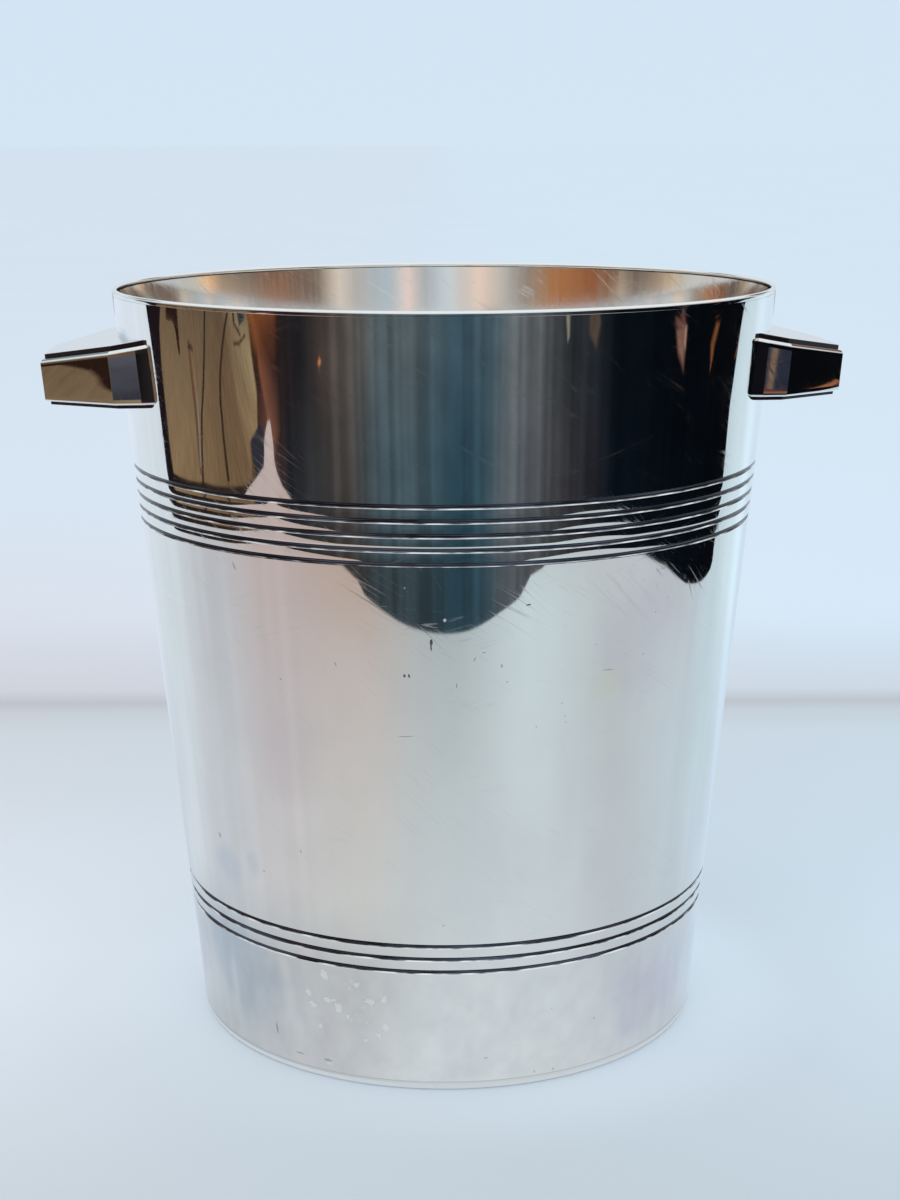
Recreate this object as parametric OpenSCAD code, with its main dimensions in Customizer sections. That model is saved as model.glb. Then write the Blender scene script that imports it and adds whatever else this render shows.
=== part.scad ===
// Champagne bucket in silver plate: a straight tapered wall with two bands of
// turned reeding, a wired rim, a foot ring, a let-in bottom and two hollow,
// stepped ear handles. Millimetres. +Z is up, the origin is the centre of the
// circle on which the foot rests, and the handles lie along the X axis.

/* [Body] */
// Overall height, foot to rim
bucket_h = 220; // [212:1:250]
// Outer radius of the wall at the foot
base_r = 75.5; // [70:0.1:80]
// Height at which the wall grows slightly steeper
shoulder_z = 172; // [171:0.5:180]
// Outer radius of the wall at that height
shoulder_r = 92.3; // [88:0.1:96]
// Outer radius of the wall at the rim
top_r = 96.5; // [93:0.1:100]
// Thickness of the wall sheet
wall_t = 1.2; // [0.9:0.1:2]

/* [Reeding] */
// Height of the middle line of the upper band
upper_band_z = 162; // [130:0.5:162]
// Number of turned lines in the upper band
upper_lines = 5; // [1:1:5]
// Height of the middle line of the lower band
lower_band_z = 40.9; // [24:0.5:70]
// Number of turned lines in the lower band
lower_lines = 3; // [1:1:5]
// Distance from one turned line to the next
line_pitch = 3.88; // [3:0.02:4.2]
// Width of a turned line at the surface
line_w = 1.4; // [0.8:0.1:2]
// Depth of a turned line
line_d = 0.45; // [0.2:0.05:0.6]
// Crown of the reed between two lines
reed_crown = 0.1; // [0:0.02:0.2]

/* [Rim and foot] */
// Radial thickness of the rim wire
rim_w = 1.5; // [1.3:0.1:2.2]
// Height of the rim wire
rim_h = 1.6; // [1.2:0.1:2.4]
// Radial thickness of the foot ring
foot_w = 3.2; // [2.4:0.1:5]
// Height of the foot ring
foot_h = 2.8; // [2.2:0.1:3.5]
// Radius that rounds the foot ring's outer lower edge
foot_round = 1.6; // [0.8:0.1:2]

/* [Bottom] */
// Height of the underside of the bottom disc above the table
bottom_z = 4; // [3.5:0.1:12]
// Thickness of the bottom disc
bottom_t = 1.2; // [0.9:0.1:2]

/* [Handles] */
// Height at which a handle's middle line meets the wall
handle_z = 198; // [185:0.5:205]
// Reach of a handle beyond the wall, measured square to the wall
reach = 22.1; // [16:0.1:28]
// Half width of a handle's flat outer end
tip_half_w = 11.7; // [6:0.1:16]
// Half width where the long flank starts
flank_half_w = 38.2; // [36:0.1:39.5]
// Half width where the root facet starts
root_half_w = 43.7; // [43.5:0.1:46]
// Thickness of the folded band
band_t = 2.4; // [2.2:0.1:3]
// Height of the band's edge above the middle line, at the wall
band_up = 6.1; // [5:0.05:8]
// Height of the band's edge below the middle line
band_down = 7.5; // [5:0.05:8]
// Drop of the upper edge for each millimetre of reach
band_taper = 0.135; // [0:0.001:0.16]
// Chamfer along the band's upper edge
band_chamfer = 0.8; // [0.4:0.1:1.2]
// Chamfer along the band's lower edge
band_chamfer_low = 0.5; // [0.3:0.1:1]
// Set-back of the two cover plates from the band's outline
plate_step = 1.5; // [1:0.1:1.9]
// Thickness of the top plate
top_plate_t = 1.35; // [0.8:0.05:2]
// Thickness of the bottom plate
bottom_plate_t = 1.1; // [0.8:0.05:2]

/* [Hidden] */
$fn = 240;

slope = (shoulder_r - base_r) / shoulder_z;              // radius gained per mm of height, below
slope_up = (top_r - shoulder_r) / (bucket_h - shoulder_z); // the same, above the shoulder
lean = atan(slope_up);                                   // lean of the wall where the handles sit
skin = wall_t / cos(lean);                               // wall thickness measured level
function cone_r(z) =                                     // outer radius at a height
    z < shoulder_z ? base_r + slope * z : shoulder_r + slope_up * (z - shoulder_z);

wall_z0 = foot_h;
wall_z1 = bucket_h - rim_h;
rim_out = cone_r(wall_z1);
wall_ref = cone_r(handle_z);
taper_a = atan(band_taper);

silver = [0.80, 0.80, 0.79];
silver_deep = [0.70, 0.70, 0.70];
silver_warm = [0.62, 0.58, 0.54];

// ---- helpers -------------------------------------------------------------

// A band seen in section, from its lowest line to its highest: round-bottomed
// turned lines with lightly crowned reeds between them.
function line_section(zc) = [
    for (k = [-4 : 4])
        let (u = k / 4, z = zc + u * line_w / 2)
        [cone_r(z) - line_d * pow(max(0, 1 - u * u), 0.6) - (abs(k) == 4 ? reed_crown : 0), z]
];
function reed_section(zc) = [
    for (k = [-2 : 2])
        let (u = k / 3, z = zc + u * (line_pitch - line_w) / 2)
        [cone_r(z) - reed_crown * u * u, z]
];
function band_section(zm, n) =
    let (z0 = zm - (n - 1) / 2 * line_pitch)
    concat(
        [[cone_r(z0 - line_w / 2 - 0.5), z0 - line_w / 2 - 0.5]],
        [for (i = [0 : n - 1])
            for (q = concat(
                line_section(z0 + i * line_pitch),
                i < n - 1 ? reed_section(z0 + (i + 0.5) * line_pitch) : [])) q],
        [[cone_r(z0 + (n - 1) * line_pitch + line_w / 2 + 0.5),
            z0 + (n - 1) * line_pitch + line_w / 2 + 0.5]]);

// Where two straight lines cross: each is given by a point and a direction.
function meet(p, d, q, e) =
    let (s = ((q[0] - p[0]) * e[1] - (q[1] - p[1]) * e[0]) / (d[0] * e[1] - d[1] * e[0]))
    [p[0] + s * d[0], p[1] + s * d[1]];

// A convex outline, listed anticlockwise, drawn in by t on every side.
function drawn_in(pts, t) =
    let (n = len(pts))
    [for (i = [0 : n - 1])
        let (a = pts[(i + n - 1) % n], b = pts[i], c = pts[(i + 1) % n],
             d = (b - a) / norm(b - a), e = (c - b) / norm(c - b))
        meet(b + t * [-d[1], d[0]], d, b + t * [-e[1], e[0]], e)];

// Plan of a handle: X is the reach beyond the wall, Y the width. The back edge
// is behind the wall and is cut away by it.
back_x = -24;
root_x = -7.9;
flank_x = 0.2;
root_run = 0.45;
ear_plan = [
    [back_x, -(root_half_w + root_run * (root_x - back_x))],
    [root_x, -root_half_w],
    [flank_x, -flank_half_w],
    [reach, -tip_half_w],
    [reach, tip_half_w],
    [flank_x, flank_half_w],
    [root_x, root_half_w],
    [back_x, root_half_w + root_run * (root_x - back_x)]
];

// Puts a handle's own frame on the wall: X square to the wall, outwards.
module on_wall() {
    translate([wall_ref, 0, handle_z]) rotate([0, lean, 0]) children();
}

// Everything below the sloping upper surface that stands d above the band's edge.
module under_top(d) {
    translate([0, 0, band_up + d]) rotate([0, taper_a, 0])
        translate([-60, -80, -60]) cube([140, 160, 60]);
}

// Cuts a handle piece to the wall it is soldered to.
module fitted_to_wall() {
    difference() {
        children();
        translate([0, 0, shoulder_z])
            cylinder(h = bucket_h - shoulder_z, r1 = shoulder_r, r2 = top_r);
    }
}

// The outline drawn in by t, as a thin sheet on the sloping top, d above the edge.
module top_sheet(t, d) {
    intersection() {
        linear_extrude(30) polygon(drawn_in(ear_plan, t));
        under_top(d);
        translate([0, 0, band_up + d]) rotate([0, taper_a, 0])
            translate([-60, -80, -0.02]) cube([140, 160, 0.02]);
    }
}

module ear_band() {
    fitted_to_wall() on_wall() difference() {
        hull() {
            top_sheet(0, 0, $fn = 32);
            top_sheet(band_chamfer, band_chamfer, $fn = 32);
            translate([0, 0, -band_down]) linear_extrude(0.02) polygon(ear_plan);
            translate([0, 0, -band_down - band_chamfer_low]) linear_extrude(0.02)
                polygon(drawn_in(ear_plan, band_chamfer_low));
        }
        translate([0, 0, -20]) linear_extrude(50) polygon(drawn_in(ear_plan, band_t));
    }
}

module ear_top_plate() {
    fitted_to_wall() on_wall() intersection() {
        linear_extrude(40) polygon(drawn_in(ear_plan, plate_step));
        translate([0, 0, band_up + band_chamfer]) rotate([0, taper_a, 0])
            translate([-60, -80, 0]) cube([140, 160, top_plate_t]);
    }
}

module ear_bottom_plate() {
    fitted_to_wall() on_wall()
        translate([0, 0, -band_down - band_chamfer_low - bottom_plate_t])
            linear_extrude(bottom_plate_t) polygon(drawn_in(ear_plan, plate_step));
}

// ---- body ----------------------------------------------------------------

// The tapered wall: one sheet, rolled or spun, with the two bands turned in it.
module body_wall() {
    color(silver) rotate_extrude() polygon(concat(
        [[cone_r(wall_z0) - skin, wall_z0], [cone_r(wall_z0), wall_z0]],
        band_section(lower_band_z, lower_lines),
        band_section(upper_band_z, upper_lines),
        [[shoulder_r, shoulder_z], [cone_r(wall_z1), wall_z1],
         [cone_r(wall_z1) - skin, wall_z1], [shoulder_r - skin, shoulder_z]]
    ));
}

// Points round a circle in section, from angle a0 to a1 in n steps.
function turned(c, r, a0, a1, n) =
    [for (k = [0 : n]) let (a = a0 + (a1 - a0) * k / n) [c[0] + r * cos(a), c[1] + r * sin(a)]];

// D-section wire soldered on the wall's upper edge, rounded over the top.
module rim_wire() {
    color(silver_deep) rotate_extrude() polygon(concat(
        [[rim_out - rim_w, wall_z1], [rim_out, wall_z1]],
        turned([cone_r(bucket_h - rim_w / 2) - rim_w / 2, bucket_h - rim_w / 2], rim_w / 2, 0, 180, 14)
    ));
}

// Foot ring under the wall, flat where it rests and rounded outside.
module foot_ring() {
    color(silver_deep) rotate_extrude() polygon(concat(
        [[base_r - foot_w, foot_h], [base_r - foot_w, 0.6], [base_r - foot_w + 0.6, 0]],
        turned([base_r - foot_round, foot_round], foot_round, -90, 0, 8),
        [[cone_r(foot_h), foot_h]]
    ));
}

// Bottom disc let into the wall just above the foot ring.
module base_disc() {
    color(silver_deep) translate([0, 0, bottom_z])
        cylinder(h = bottom_t, r1 = cone_r(bottom_z) - skin, r2 = cone_r(bottom_z + bottom_t) - skin);
}

// ---- handles -------------------------------------------------------------

module right_handle_band() { color(silver_warm) ear_band(); }
module right_handle_top_plate() { color(silver) ear_top_plate(); }
module right_handle_bottom_plate() { color(silver_deep) ear_bottom_plate(); }
module left_handle_band() { mirror([1, 0, 0]) color(silver_warm) ear_band(); }
module left_handle_top_plate() { mirror([1, 0, 0]) color(silver) ear_top_plate(); }
module left_handle_bottom_plate() { mirror([1, 0, 0]) color(silver_deep) ear_bottom_plate(); }

body_wall();
rim_wire();
foot_ring();
base_disc();
left_handle_band();
left_handle_top_plate();
left_handle_bottom_plate();
right_handle_band();
right_handle_top_plate();
right_handle_bottom_plate();
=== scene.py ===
import bpy
import math
import random
import numpy as np
from mathutils import Matrix, Vector
from mathutils.geometry import delaunay_2d_cdt

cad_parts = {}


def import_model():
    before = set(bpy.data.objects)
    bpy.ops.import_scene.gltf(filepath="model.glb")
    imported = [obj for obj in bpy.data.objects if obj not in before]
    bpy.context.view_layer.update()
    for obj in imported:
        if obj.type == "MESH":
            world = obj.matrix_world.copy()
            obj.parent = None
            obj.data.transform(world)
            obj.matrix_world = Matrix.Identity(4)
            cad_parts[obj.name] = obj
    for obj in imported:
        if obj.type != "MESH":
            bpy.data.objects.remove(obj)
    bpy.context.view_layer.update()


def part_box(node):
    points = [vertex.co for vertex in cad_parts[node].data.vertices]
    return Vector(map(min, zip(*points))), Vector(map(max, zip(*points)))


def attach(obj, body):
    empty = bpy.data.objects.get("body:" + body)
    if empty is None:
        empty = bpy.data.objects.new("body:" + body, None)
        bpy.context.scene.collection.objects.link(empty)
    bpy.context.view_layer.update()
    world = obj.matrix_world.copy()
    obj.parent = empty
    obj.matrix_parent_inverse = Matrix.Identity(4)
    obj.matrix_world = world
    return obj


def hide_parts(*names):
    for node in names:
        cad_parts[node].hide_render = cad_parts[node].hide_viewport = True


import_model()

scene = bpy.context.scene
MM = 0.001

# ---------------------------------------------------------------- frame -----
# Every length below is in millimetres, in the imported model's own frame. The
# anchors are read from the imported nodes; the small offsets are the object's.
wall_lo, wall_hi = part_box("body_wall")
rim_lo, rim_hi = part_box("rim_wire")
foot_lo, foot_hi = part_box("foot_ring")
disc_lo, disc_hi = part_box("base_disc")
band_lo, band_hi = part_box("right_handle_band")
top_lo, top_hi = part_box("right_handle_top_plate")

FOOT_H = foot_hi.z / MM                     # 2.8
WALL_Z0 = wall_lo.z / MM                    # 2.8
WALL_Z1 = wall_hi.z / MM                    # 217.4
RIM_Z1 = rim_hi.z / MM                      # 220
WALL_TOP_R = wall_hi.x / MM                 # outer radius at WALL_Z1
SHOULDER_Z = 172.0
SLOPE_UP = 0.0875                           # radius gained per mm above the shoulder
SHOULDER_R = WALL_TOP_R - SLOPE_UP * (WALL_Z1 - SHOULDER_Z)
BASE_R = 75.5
SLOPE = (SHOULDER_R - BASE_R) / SHOULDER_Z
LEAN = math.atan(SLOPE_UP)
SKIN = 1.2 / math.cos(LEAN)


def cone_r(z):
    """Outer radius of the wall at a height; the slope changes softly at the shoulder."""
    z = np.asarray(z, float)
    soft = 5.0
    lower = BASE_R + SLOPE * z
    k = (SLOPE_UP - SLOPE)
    d = z - SHOULDER_Z
    bend = np.where(d < -soft, 0.0, np.where(d > soft, d, (d + soft) ** 2 / (4 * soft)))
    return lower + k * bend


# --------------------------------------------------------------- helpers ----
def srgb(r, g, b, gain=1.0):
    def f(c):
        c = c / 255.0
        return (c / 12.92 if c <= 0.04045 else ((c + 0.055) / 1.055) ** 2.4) * gain
    return (f(r), f(g), f(b), 1.0)


def lin(rgb):
    c = np.asarray(rgb, float) / 255.0
    return np.where(c <= 0.04045, c / 12.92, ((c + 0.055) / 1.055) ** 2.4)


def mesh_object(name, verts, faces, smooth=True):
    me = bpy.data.meshes.new(name)
    me.from_pydata([tuple(v) for v in verts], [], [tuple(f) for f in faces])
    me.validate()
    me.update()
    if smooth:
        me.polygons.foreach_set("use_smooth", [True] * len(me.polygons))
        me.set_sharp_from_angle(angle=math.radians(36))
    ob = bpy.data.objects.new(name, me)
    scene.collection.objects.link(ob)
    return ob


def point_attribute(ob, name, values, kind="FLOAT"):
    a = ob.data.attributes.new(name, kind, "POINT")
    if kind == "FLOAT":
        a.data.foreach_set("value", np.asarray(values, np.float32).ravel())
    elif kind == "FLOAT_VECTOR":
        a.data.foreach_set("vector", np.asarray(values, np.float32).ravel())
    else:
        a.data.foreach_set("color", np.asarray(values, np.float32).ravel())
    return a


class Nodes:
    """A short way to write a material's node graph."""

    def __init__(self, name, world=False):
        if world:
            self.block = bpy.data.worlds.new(name)
        else:
            self.block = bpy.data.materials.new(name)
        self.block.use_nodes = True
        self.t = self.block.node_tree
        self.t.nodes.clear()

    def add(self, kind, **props):
        n = self.t.nodes.new(kind)
        for k, v in props.items():
            if k == "inputs":
                for i, val in v.items():
                    self.put(n.inputs[i], val)
            else:
                setattr(n, k, v)
        return n

    def put(self, socket, val):
        if isinstance(val, bpy.types.NodeSocket):
            self.t.links.new(val, socket)
        elif isinstance(val, bpy.types.Node):
            self.t.links.new(val.outputs[0], socket)
        else:
            socket.default_value = val

    def math(self, op, a, b=None, c=None, clamp=False):
        n = self.add("ShaderNodeMath", operation=op, use_clamp=clamp)
        for i, v in enumerate((a, b, c)):
            if v is not None:
                self.put(n.inputs[i], v)
        return n.outputs[0]

    def vmath(self, op, a, b=None, out=0):
        n = self.add("ShaderNodeVectorMath", operation=op)
        self.put(n.inputs[0], a)
        if b is not None:
            self.put(n.inputs[1], b)
        return n.outputs[out]

    def mix(self, fac, a, b, blend="MIX"):
        n = self.add("ShaderNodeMix", data_type="RGBA", blend_type=blend)
        self.put(n.inputs[0], fac)
        self.put(n.inputs[6], a)
        self.put(n.inputs[7], b)
        return n.outputs[2]

    def fmix(self, fac, a, b):
        n = self.add("ShaderNodeMix", data_type="FLOAT")
        self.put(n.inputs[0], fac)
        self.put(n.inputs[2], a)
        self.put(n.inputs[3], b)
        return n.outputs[0]

    def noise(self, vec, scale, detail=2.0, rough=0.5, distort=0.0, dims="3D"):
        n = self.add("ShaderNodeTexNoise", noise_dimensions=dims)
        self.put(n.inputs["Vector"], vec)
        n.inputs["Scale"].default_value = scale
        n.inputs["Detail"].default_value = detail
        n.inputs["Roughness"].default_value = rough
        n.inputs["Distortion"].default_value = distort
        return n.outputs["Fac"]

    def steps(self, val, lo, hi, a=0.0, b=1.0, kind="SMOOTHSTEP"):
        n = self.add("ShaderNodeMapRange", interpolation_type=kind)
        self.put(n.inputs["Value"], val)
        n.inputs["From Min"].default_value = lo
        n.inputs["From Max"].default_value = hi
        n.inputs["To Min"].default_value = a
        n.inputs["To Max"].default_value = b
        return n.outputs[0]

    def ramp(self, val, stops, interpolation="LINEAR"):
        n = self.add("ShaderNodeValToRGB")
        n.color_ramp.interpolation = interpolation
        el = n.color_ramp.elements
        while len(el) > 1:
            el.remove(el[-1])
        el[0].position, el[0].color = stops[0]
        for p, c in stops[1:]:
            e = el.new(p)
            e.color = c
        self.put(n.inputs[0], val)
        return n.outputs[0]

    def mapping(self, vec, loc=(0, 0, 0), rot=(0, 0, 0), scale=(1, 1, 1), kind="POINT"):
        n = self.add("ShaderNodeMapping", vector_type=kind)
        self.put(n.inputs[0], vec)
        n.inputs["Location"].default_value = loc
        n.inputs["Rotation"].default_value = rot
        n.inputs["Scale"].default_value = scale
        return n.outputs[0]


# ---------------------------------------------------------------- camera ----
ALPHA = math.radians(4.15)                  # the viewer stands a little left of the front


def from_viewer(v):
    """A point or direction given square to the viewer, in the model's frame."""
    c, s = math.cos(ALPHA), math.sin(ALPHA)
    return Vector((c * v[0] + s * v[1], -s * v[0] + c * v[1], v[2]))


pitch, yaw, roll = math.radians(12.8446), math.radians(-0.00987), math.radians(-0.2306)
fw = Vector((math.sin(yaw) * math.cos(pitch), math.cos(yaw) * math.cos(pitch), -math.sin(pitch)))
rt = fw.cross(Vector((0, 0, 1))).normalized()
up = rt.cross(fw)
rt2 = math.cos(roll) * rt + math.sin(roll) * up
up2 = -math.sin(roll) * rt + math.cos(roll) * up
cam_pos = from_viewer((1.49, -614.29, 264.57)) * MM
ax, ay, az_ = from_viewer(rt2), from_viewer(up2), from_viewer(-fw)
cam_data = bpy.data.cameras.new("camera")
cam_data.lens = 62.22
cam_data.sensor_width = 36.0
cam_data.sensor_fit = "AUTO"
cam_data.clip_start = 0.01
cam_data.clip_end = 200.0
cam = bpy.data.objects.new("camera", cam_data)
cam.matrix_world = Matrix(((ax.x, ay.x, az_.x, cam_pos.x), (ax.y, ay.y, az_.y, cam_pos.y),
                           (ax.z, ay.z, az_.z, cam_pos.z), (0, 0, 0, 1)))
scene.collection.objects.link(cam)
scene.camera = cam
scene.view_settings.view_transform = "Standard"
scene.view_settings.look = "None"
scene.view_settings.exposure = 0.0
scene.view_settings.gamma = 1.0

# ----------------------------------------------------------------- stage ----
viewer = bpy.data.objects.new("viewer_axes", None)   # X right, Y away, as the viewer sees it
viewer.rotation_euler = (0, 0, -ALPHA)
scene.collection.objects.link(viewer)
bpy.context.view_layer.update()


def on_stage(ob):
    ob.parent = viewer
    return ob


# The plain pale floor. Its tone changes softly in depth, the way a white table
# in front of a white wall does, with a painted shadow line where the two meet
# and painted light and shade round the bucket.
def floor():
    n = Nodes("floor_pale")
    co = n.add("ShaderNodeTexCoord").outputs["Object"]
    sep = n.add("ShaderNodeSeparateXYZ", inputs={0: co})
    x, y = sep.outputs[0], sep.outputs[1]
    depth = n.steps(y, -0.60, 1.40, 0.0, 1.0, "LINEAR")

    def at(m):
        return (m + 0.60) / 2.0
    # painted shadow line: both ramps darken to a soft line at 0.32 to 0.35 m in depth, where the table meets the wall;
    # beyond it they carry the wall's tones
    left = n.ramp(depth, [
        (at(-0.40), srgb(199, 208, 217)), (at(-0.27), srgb(212, 221, 230)),
        (at(-0.12), srgb(219, 228, 237)), (at(0.10), srgb(212, 220, 229)),
        (at(0.28), srgb(206, 214, 222)), (at(0.318), srgb(199, 205, 213)),
        (at(0.328), srgb(189, 192, 200)), (at(0.352), srgb(207, 210, 219)),
        (at(0.50), srgb(214, 221, 232)), (at(0.90), srgb(213, 227, 240))])
    right = n.ramp(depth, [
        (at(-0.40), srgb(196, 210, 221)), (at(-0.27), srgb(203, 219, 229)),
        (at(-0.12), srgb(206, 223, 235)), (at(0.10), srgb(201, 219, 233)),
        (at(0.28), srgb(203, 219, 231)), (at(0.318), srgb(198, 210, 219)),
        (at(0.328), srgb(189, 195, 203)), (at(0.352), srgb(206, 218, 230)),
        (at(0.50), srgb(212, 230, 245)), (at(0.90), srgb(212, 229, 244))])
    col = n.mix(n.steps(x, -0.28, 0.28), left, right)
    cloud = n.noise(co, 3.0, 3.0)
    col = n.mix(n.steps(cloud, 0.3, 0.7, 0.0, 0.05), col, srgb(196, 206, 216))
    # painted light and shade: the floor's colour is lifted beside the bucket, to cancel the shade it casts there, and
    # made a little darker in front
    painted_light_and_shade = n.ramp(n.steps(y, -0.16, 0.54, 0.0, 1.0, "LINEAR"), [
        ((q + 0.16) / 0.70, (v / 1.6, v / 1.6, v / 1.6, 1.0)) for q, v in (
            (-0.160, 0.88), (-0.131, 0.905), (-0.115, 0.925), (-0.098, 0.965), (-0.080, 1.00), (-0.041, 1.065), (-0.012, 1.11),
            (0.028, 1.13), (0.074, 1.10), (0.126, 1.06), (0.185, 1.01), (0.240, 0.98), (0.300, 0.96), (0.540, 1.0))])
    painted_light_and_shade = n.math("MULTIPLY", painted_light_and_shade, 1.6)
    near = n.steps(n.vmath("LENGTH", co, out=1), 0.074, 0.122, 1.0, 0.0)
    painted_light_and_shade = n.math("MULTIPLY", painted_light_and_shade, n.math("MULTIPLY_ADD", near, n.steps(x, -0.08, 0.08, 0.05, 0.16), 1.0))
    col = n.mix(1.0, col, n.add("ShaderNodeCombineColor", inputs={0: painted_light_and_shade, 1: painted_light_and_shade, 2: painted_light_and_shade}), "MULTIPLY")
    bsdf = n.add("ShaderNodeBsdfPrincipled", inputs={"Base Color": col, "Roughness": 0.75})
    bsdf.inputs["Specular IOR Level"].default_value = 0.0
    out = n.add("ShaderNodeOutputMaterial", inputs={0: bsdf})
    s = 30.0
    ob = mesh_object("floor", [(-s, -s, 0), (s, -s, 0), (s, s, 0), (-s, s, 0)], [(0, 1, 2, 3)], False)
    ob.data.materials.append(n.block)
    ob.visible_glossy = False
    return on_stage(ob)


floor()


def world():
    n = Nodes("studio", world=True)
    lp = n.add("ShaderNodeLightPath")
    co = n.add("ShaderNodeTexCoord").outputs["Generated"]
    z = n.add("ShaderNodeSeparateXYZ", inputs={0: co}).outputs[2]
    seen = n.ramp(n.steps(z, -0.02, 0.35, 0, 1, "LINEAR"), [(0.0, srgb(212, 229, 244)), (1.0, srgb(209, 226, 242))])
    above = n.ramp(n.steps(z, 0.0, 1.0, 0, 1, "LINEAR"), [
        (0.0, srgb(205, 214, 222)), (0.25, srgb(212, 222, 230)), (0.6, srgb(222, 230, 236)), (1.0, srgb(228, 234, 239))])
    b_seen = n.add("ShaderNodeBackground", inputs={0: seen, 1: 1.0})
    b_gloss = n.add("ShaderNodeBackground", inputs={0: above, 1: 1.08})
    b_light = n.add("ShaderNodeBackground", inputs={0: (1.0, 1.0, 1.0, 1.0), 1: 1.0})
    m1 = n.add("ShaderNodeMixShader", inputs={0: lp.outputs["Is Glossy Ray"], 1: b_light, 2: b_gloss})
    m2 = n.add("ShaderNodeMixShader", inputs={0: lp.outputs["Is Camera Ray"], 1: m1, 2: b_seen})
    n.add("ShaderNodeOutputWorld", inputs={0: m2})
    scene.world = n.block


world()

# Reflection cards: pale and dark cards laid round the bucket, seen only in its
# polish. They lie flat, because a wall that leans outwards mirrors the floor.
SILVER = np.array([0.930, 0.920, 0.895])    # how much of a card's light the polish gives back
card_level = [0]


def card_material(name, grain=0.10, grain_scale=6.0, direction=0.0, stretch=1.0):
    n = Nodes(name)
    tone = n.add("ShaderNodeAttribute", attribute_name="tone")
    fade = n.add("ShaderNodeAttribute", attribute_name="fade")
    co = n.add("ShaderNodeTexCoord").outputs["Object"]
    co = n.mapping(co, rot=(0, 0, -direction), scale=(1.0, stretch, 1.0))
    f = n.noise(co, grain_scale, 5.0, 0.6)
    k = n.steps(f, 0.25, 0.75, 1.0 - grain, 1.0 + grain, "LINEAR")
    col = n.mix(1.0, tone.outputs["Color"], n.add("ShaderNodeCombineColor", inputs={0: k, 1: k, 2: k}), "MULTIPLY")
    em = n.add("ShaderNodeEmission", inputs={0: col, 1: 1.0})
    tr = n.add("ShaderNodeBsdfTransparent")
    mx = n.add("ShaderNodeMixShader", inputs={0: fade.outputs["Fac"], 1: tr, 2: em})
    n.add("ShaderNodeOutputMaterial", inputs={0: mx})
    n.block.cycles.emission_sampling = "NONE"
    return n.block


def as_card(ob, mat):
    ob.data.materials.append(mat)
    ob.visible_camera = False
    ob.visible_diffuse = False
    ob.visible_shadow = False
    ob.visible_transmission = False
    ob.visible_volume_scatter = False
    return on_stage(ob)


def tones(points, colour, gain):
    """colour is one sRGB colour, or a function of x and y in mm."""
    p = np.asarray(points, float)
    if callable(colour):
        c = np.array([colour(x, y) for x, y in p[:, :2]], float)
    else:
        c = np.tile(np.asarray(colour, float), (len(p), 1))
    c = lin(c) * gain / SILVER
    return np.hstack([c, np.ones((len(p), 1))])


def flat_card(name, outline, colour, feather=8.0, gain=1.0, **grain):
    """A flat card with the given outline (mm, as the viewer sees it), soft at its edge."""
    card_level[0] += 1
    z = 0.35 + 0.05 * card_level[0]
    pts = [Vector(p) for p in outline]
    area = sum(a.x * b.y - b.x * a.y for a, b in zip(pts, pts[1:] + pts[:1]))
    if area < 0:
        pts.reverse()
    n = len(pts)

    def moved(d):
        res = []
        for i in range(n):
            a, b, c = pts[i - 1], pts[i], pts[(i + 1) % n]
            u, v = (b - a).normalized(), (c - b).normalized()
            nu, nv = Vector((-u.y, u.x)), Vector((-v.y, v.x))
            m = (nu + nv)
            m = m / max(0.35, m.dot(nu))
            res.append(b + m * d)
        return res
    outer, inner = moved(-feather / 2), moved(feather / 2)
    verts = [(p.x * MM, p.y * MM, z * MM) for p in outer + inner]
    faces = [(i, (i + 1) % n, n + (i + 1) % n, n + i) for i in range(n)]
    faces.append(tuple(range(n, 2 * n)))
    ob = mesh_object("card_" + name, verts, faces, False)
    point_attribute(ob, "tone", tones([(p.x, p.y) for p in outer + inner], colour, gain), "FLOAT_COLOR")
    point_attribute(ob, "fade", [0.0] * n + [1.0] * n)
    return as_card(ob, card_material("card_" + name, **grain))


def radial_card(name, radius_at, colour, rings, azimuths, feather=8.0, r_min=60.0, gain=1.0, **grain):
    """A card from the middle out to an edge given by direction, with its tone by place.
    Direction 0 is towards the viewer, +90 to the right."""
    card_level[0] += 1
    z = 0.35 + 0.05 * card_level[0]
    verts, flat, fade = [], [], []
    for a in azimuths:
        edge = radius_at(a)
        sx, sy = math.sin(math.radians(a)), -math.cos(math.radians(a))
        radii = [r_min + (edge - feather / 2 - r_min) * k / rings for k in range(rings + 1)] + [edge + feather / 2]
        for k, r in enumerate(radii):
            verts.append((r * sx * MM, r * sy * MM, z * MM))
            flat.append((r * sx, r * sy))
            fade.append(0.0 if k == rings + 1 else 1.0)
    m, na = rings + 2, len(azimuths)
    faces = []
    for i in range(na):
        j = (i + 1) % na
        for k in range(m - 1):
            faces.append((i * m + k, i * m + k + 1, j * m + k + 1, j * m + k))
    ob = mesh_object("card_" + name, verts, faces, False)
    point_attribute(ob, "tone", tones(flat, colour, gain), "FLOAT_COLOR")
    point_attribute(ob, "fade", fade)
    return as_card(ob, card_material("card_" + name, **grain))


def blend_table(x, keys):
    """Smooth value between keys [(x, value), ...]."""
    xs = [k[0] for k in keys]
    vals = np.array([k[1] for k in keys], float)
    return np.array([np.interp(x, xs, vals[:, c]) for c in range(vals.shape[1])])


def az_r(x, y):
    return math.degrees(math.atan2(x, -y)), math.hypot(x, y)


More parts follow.
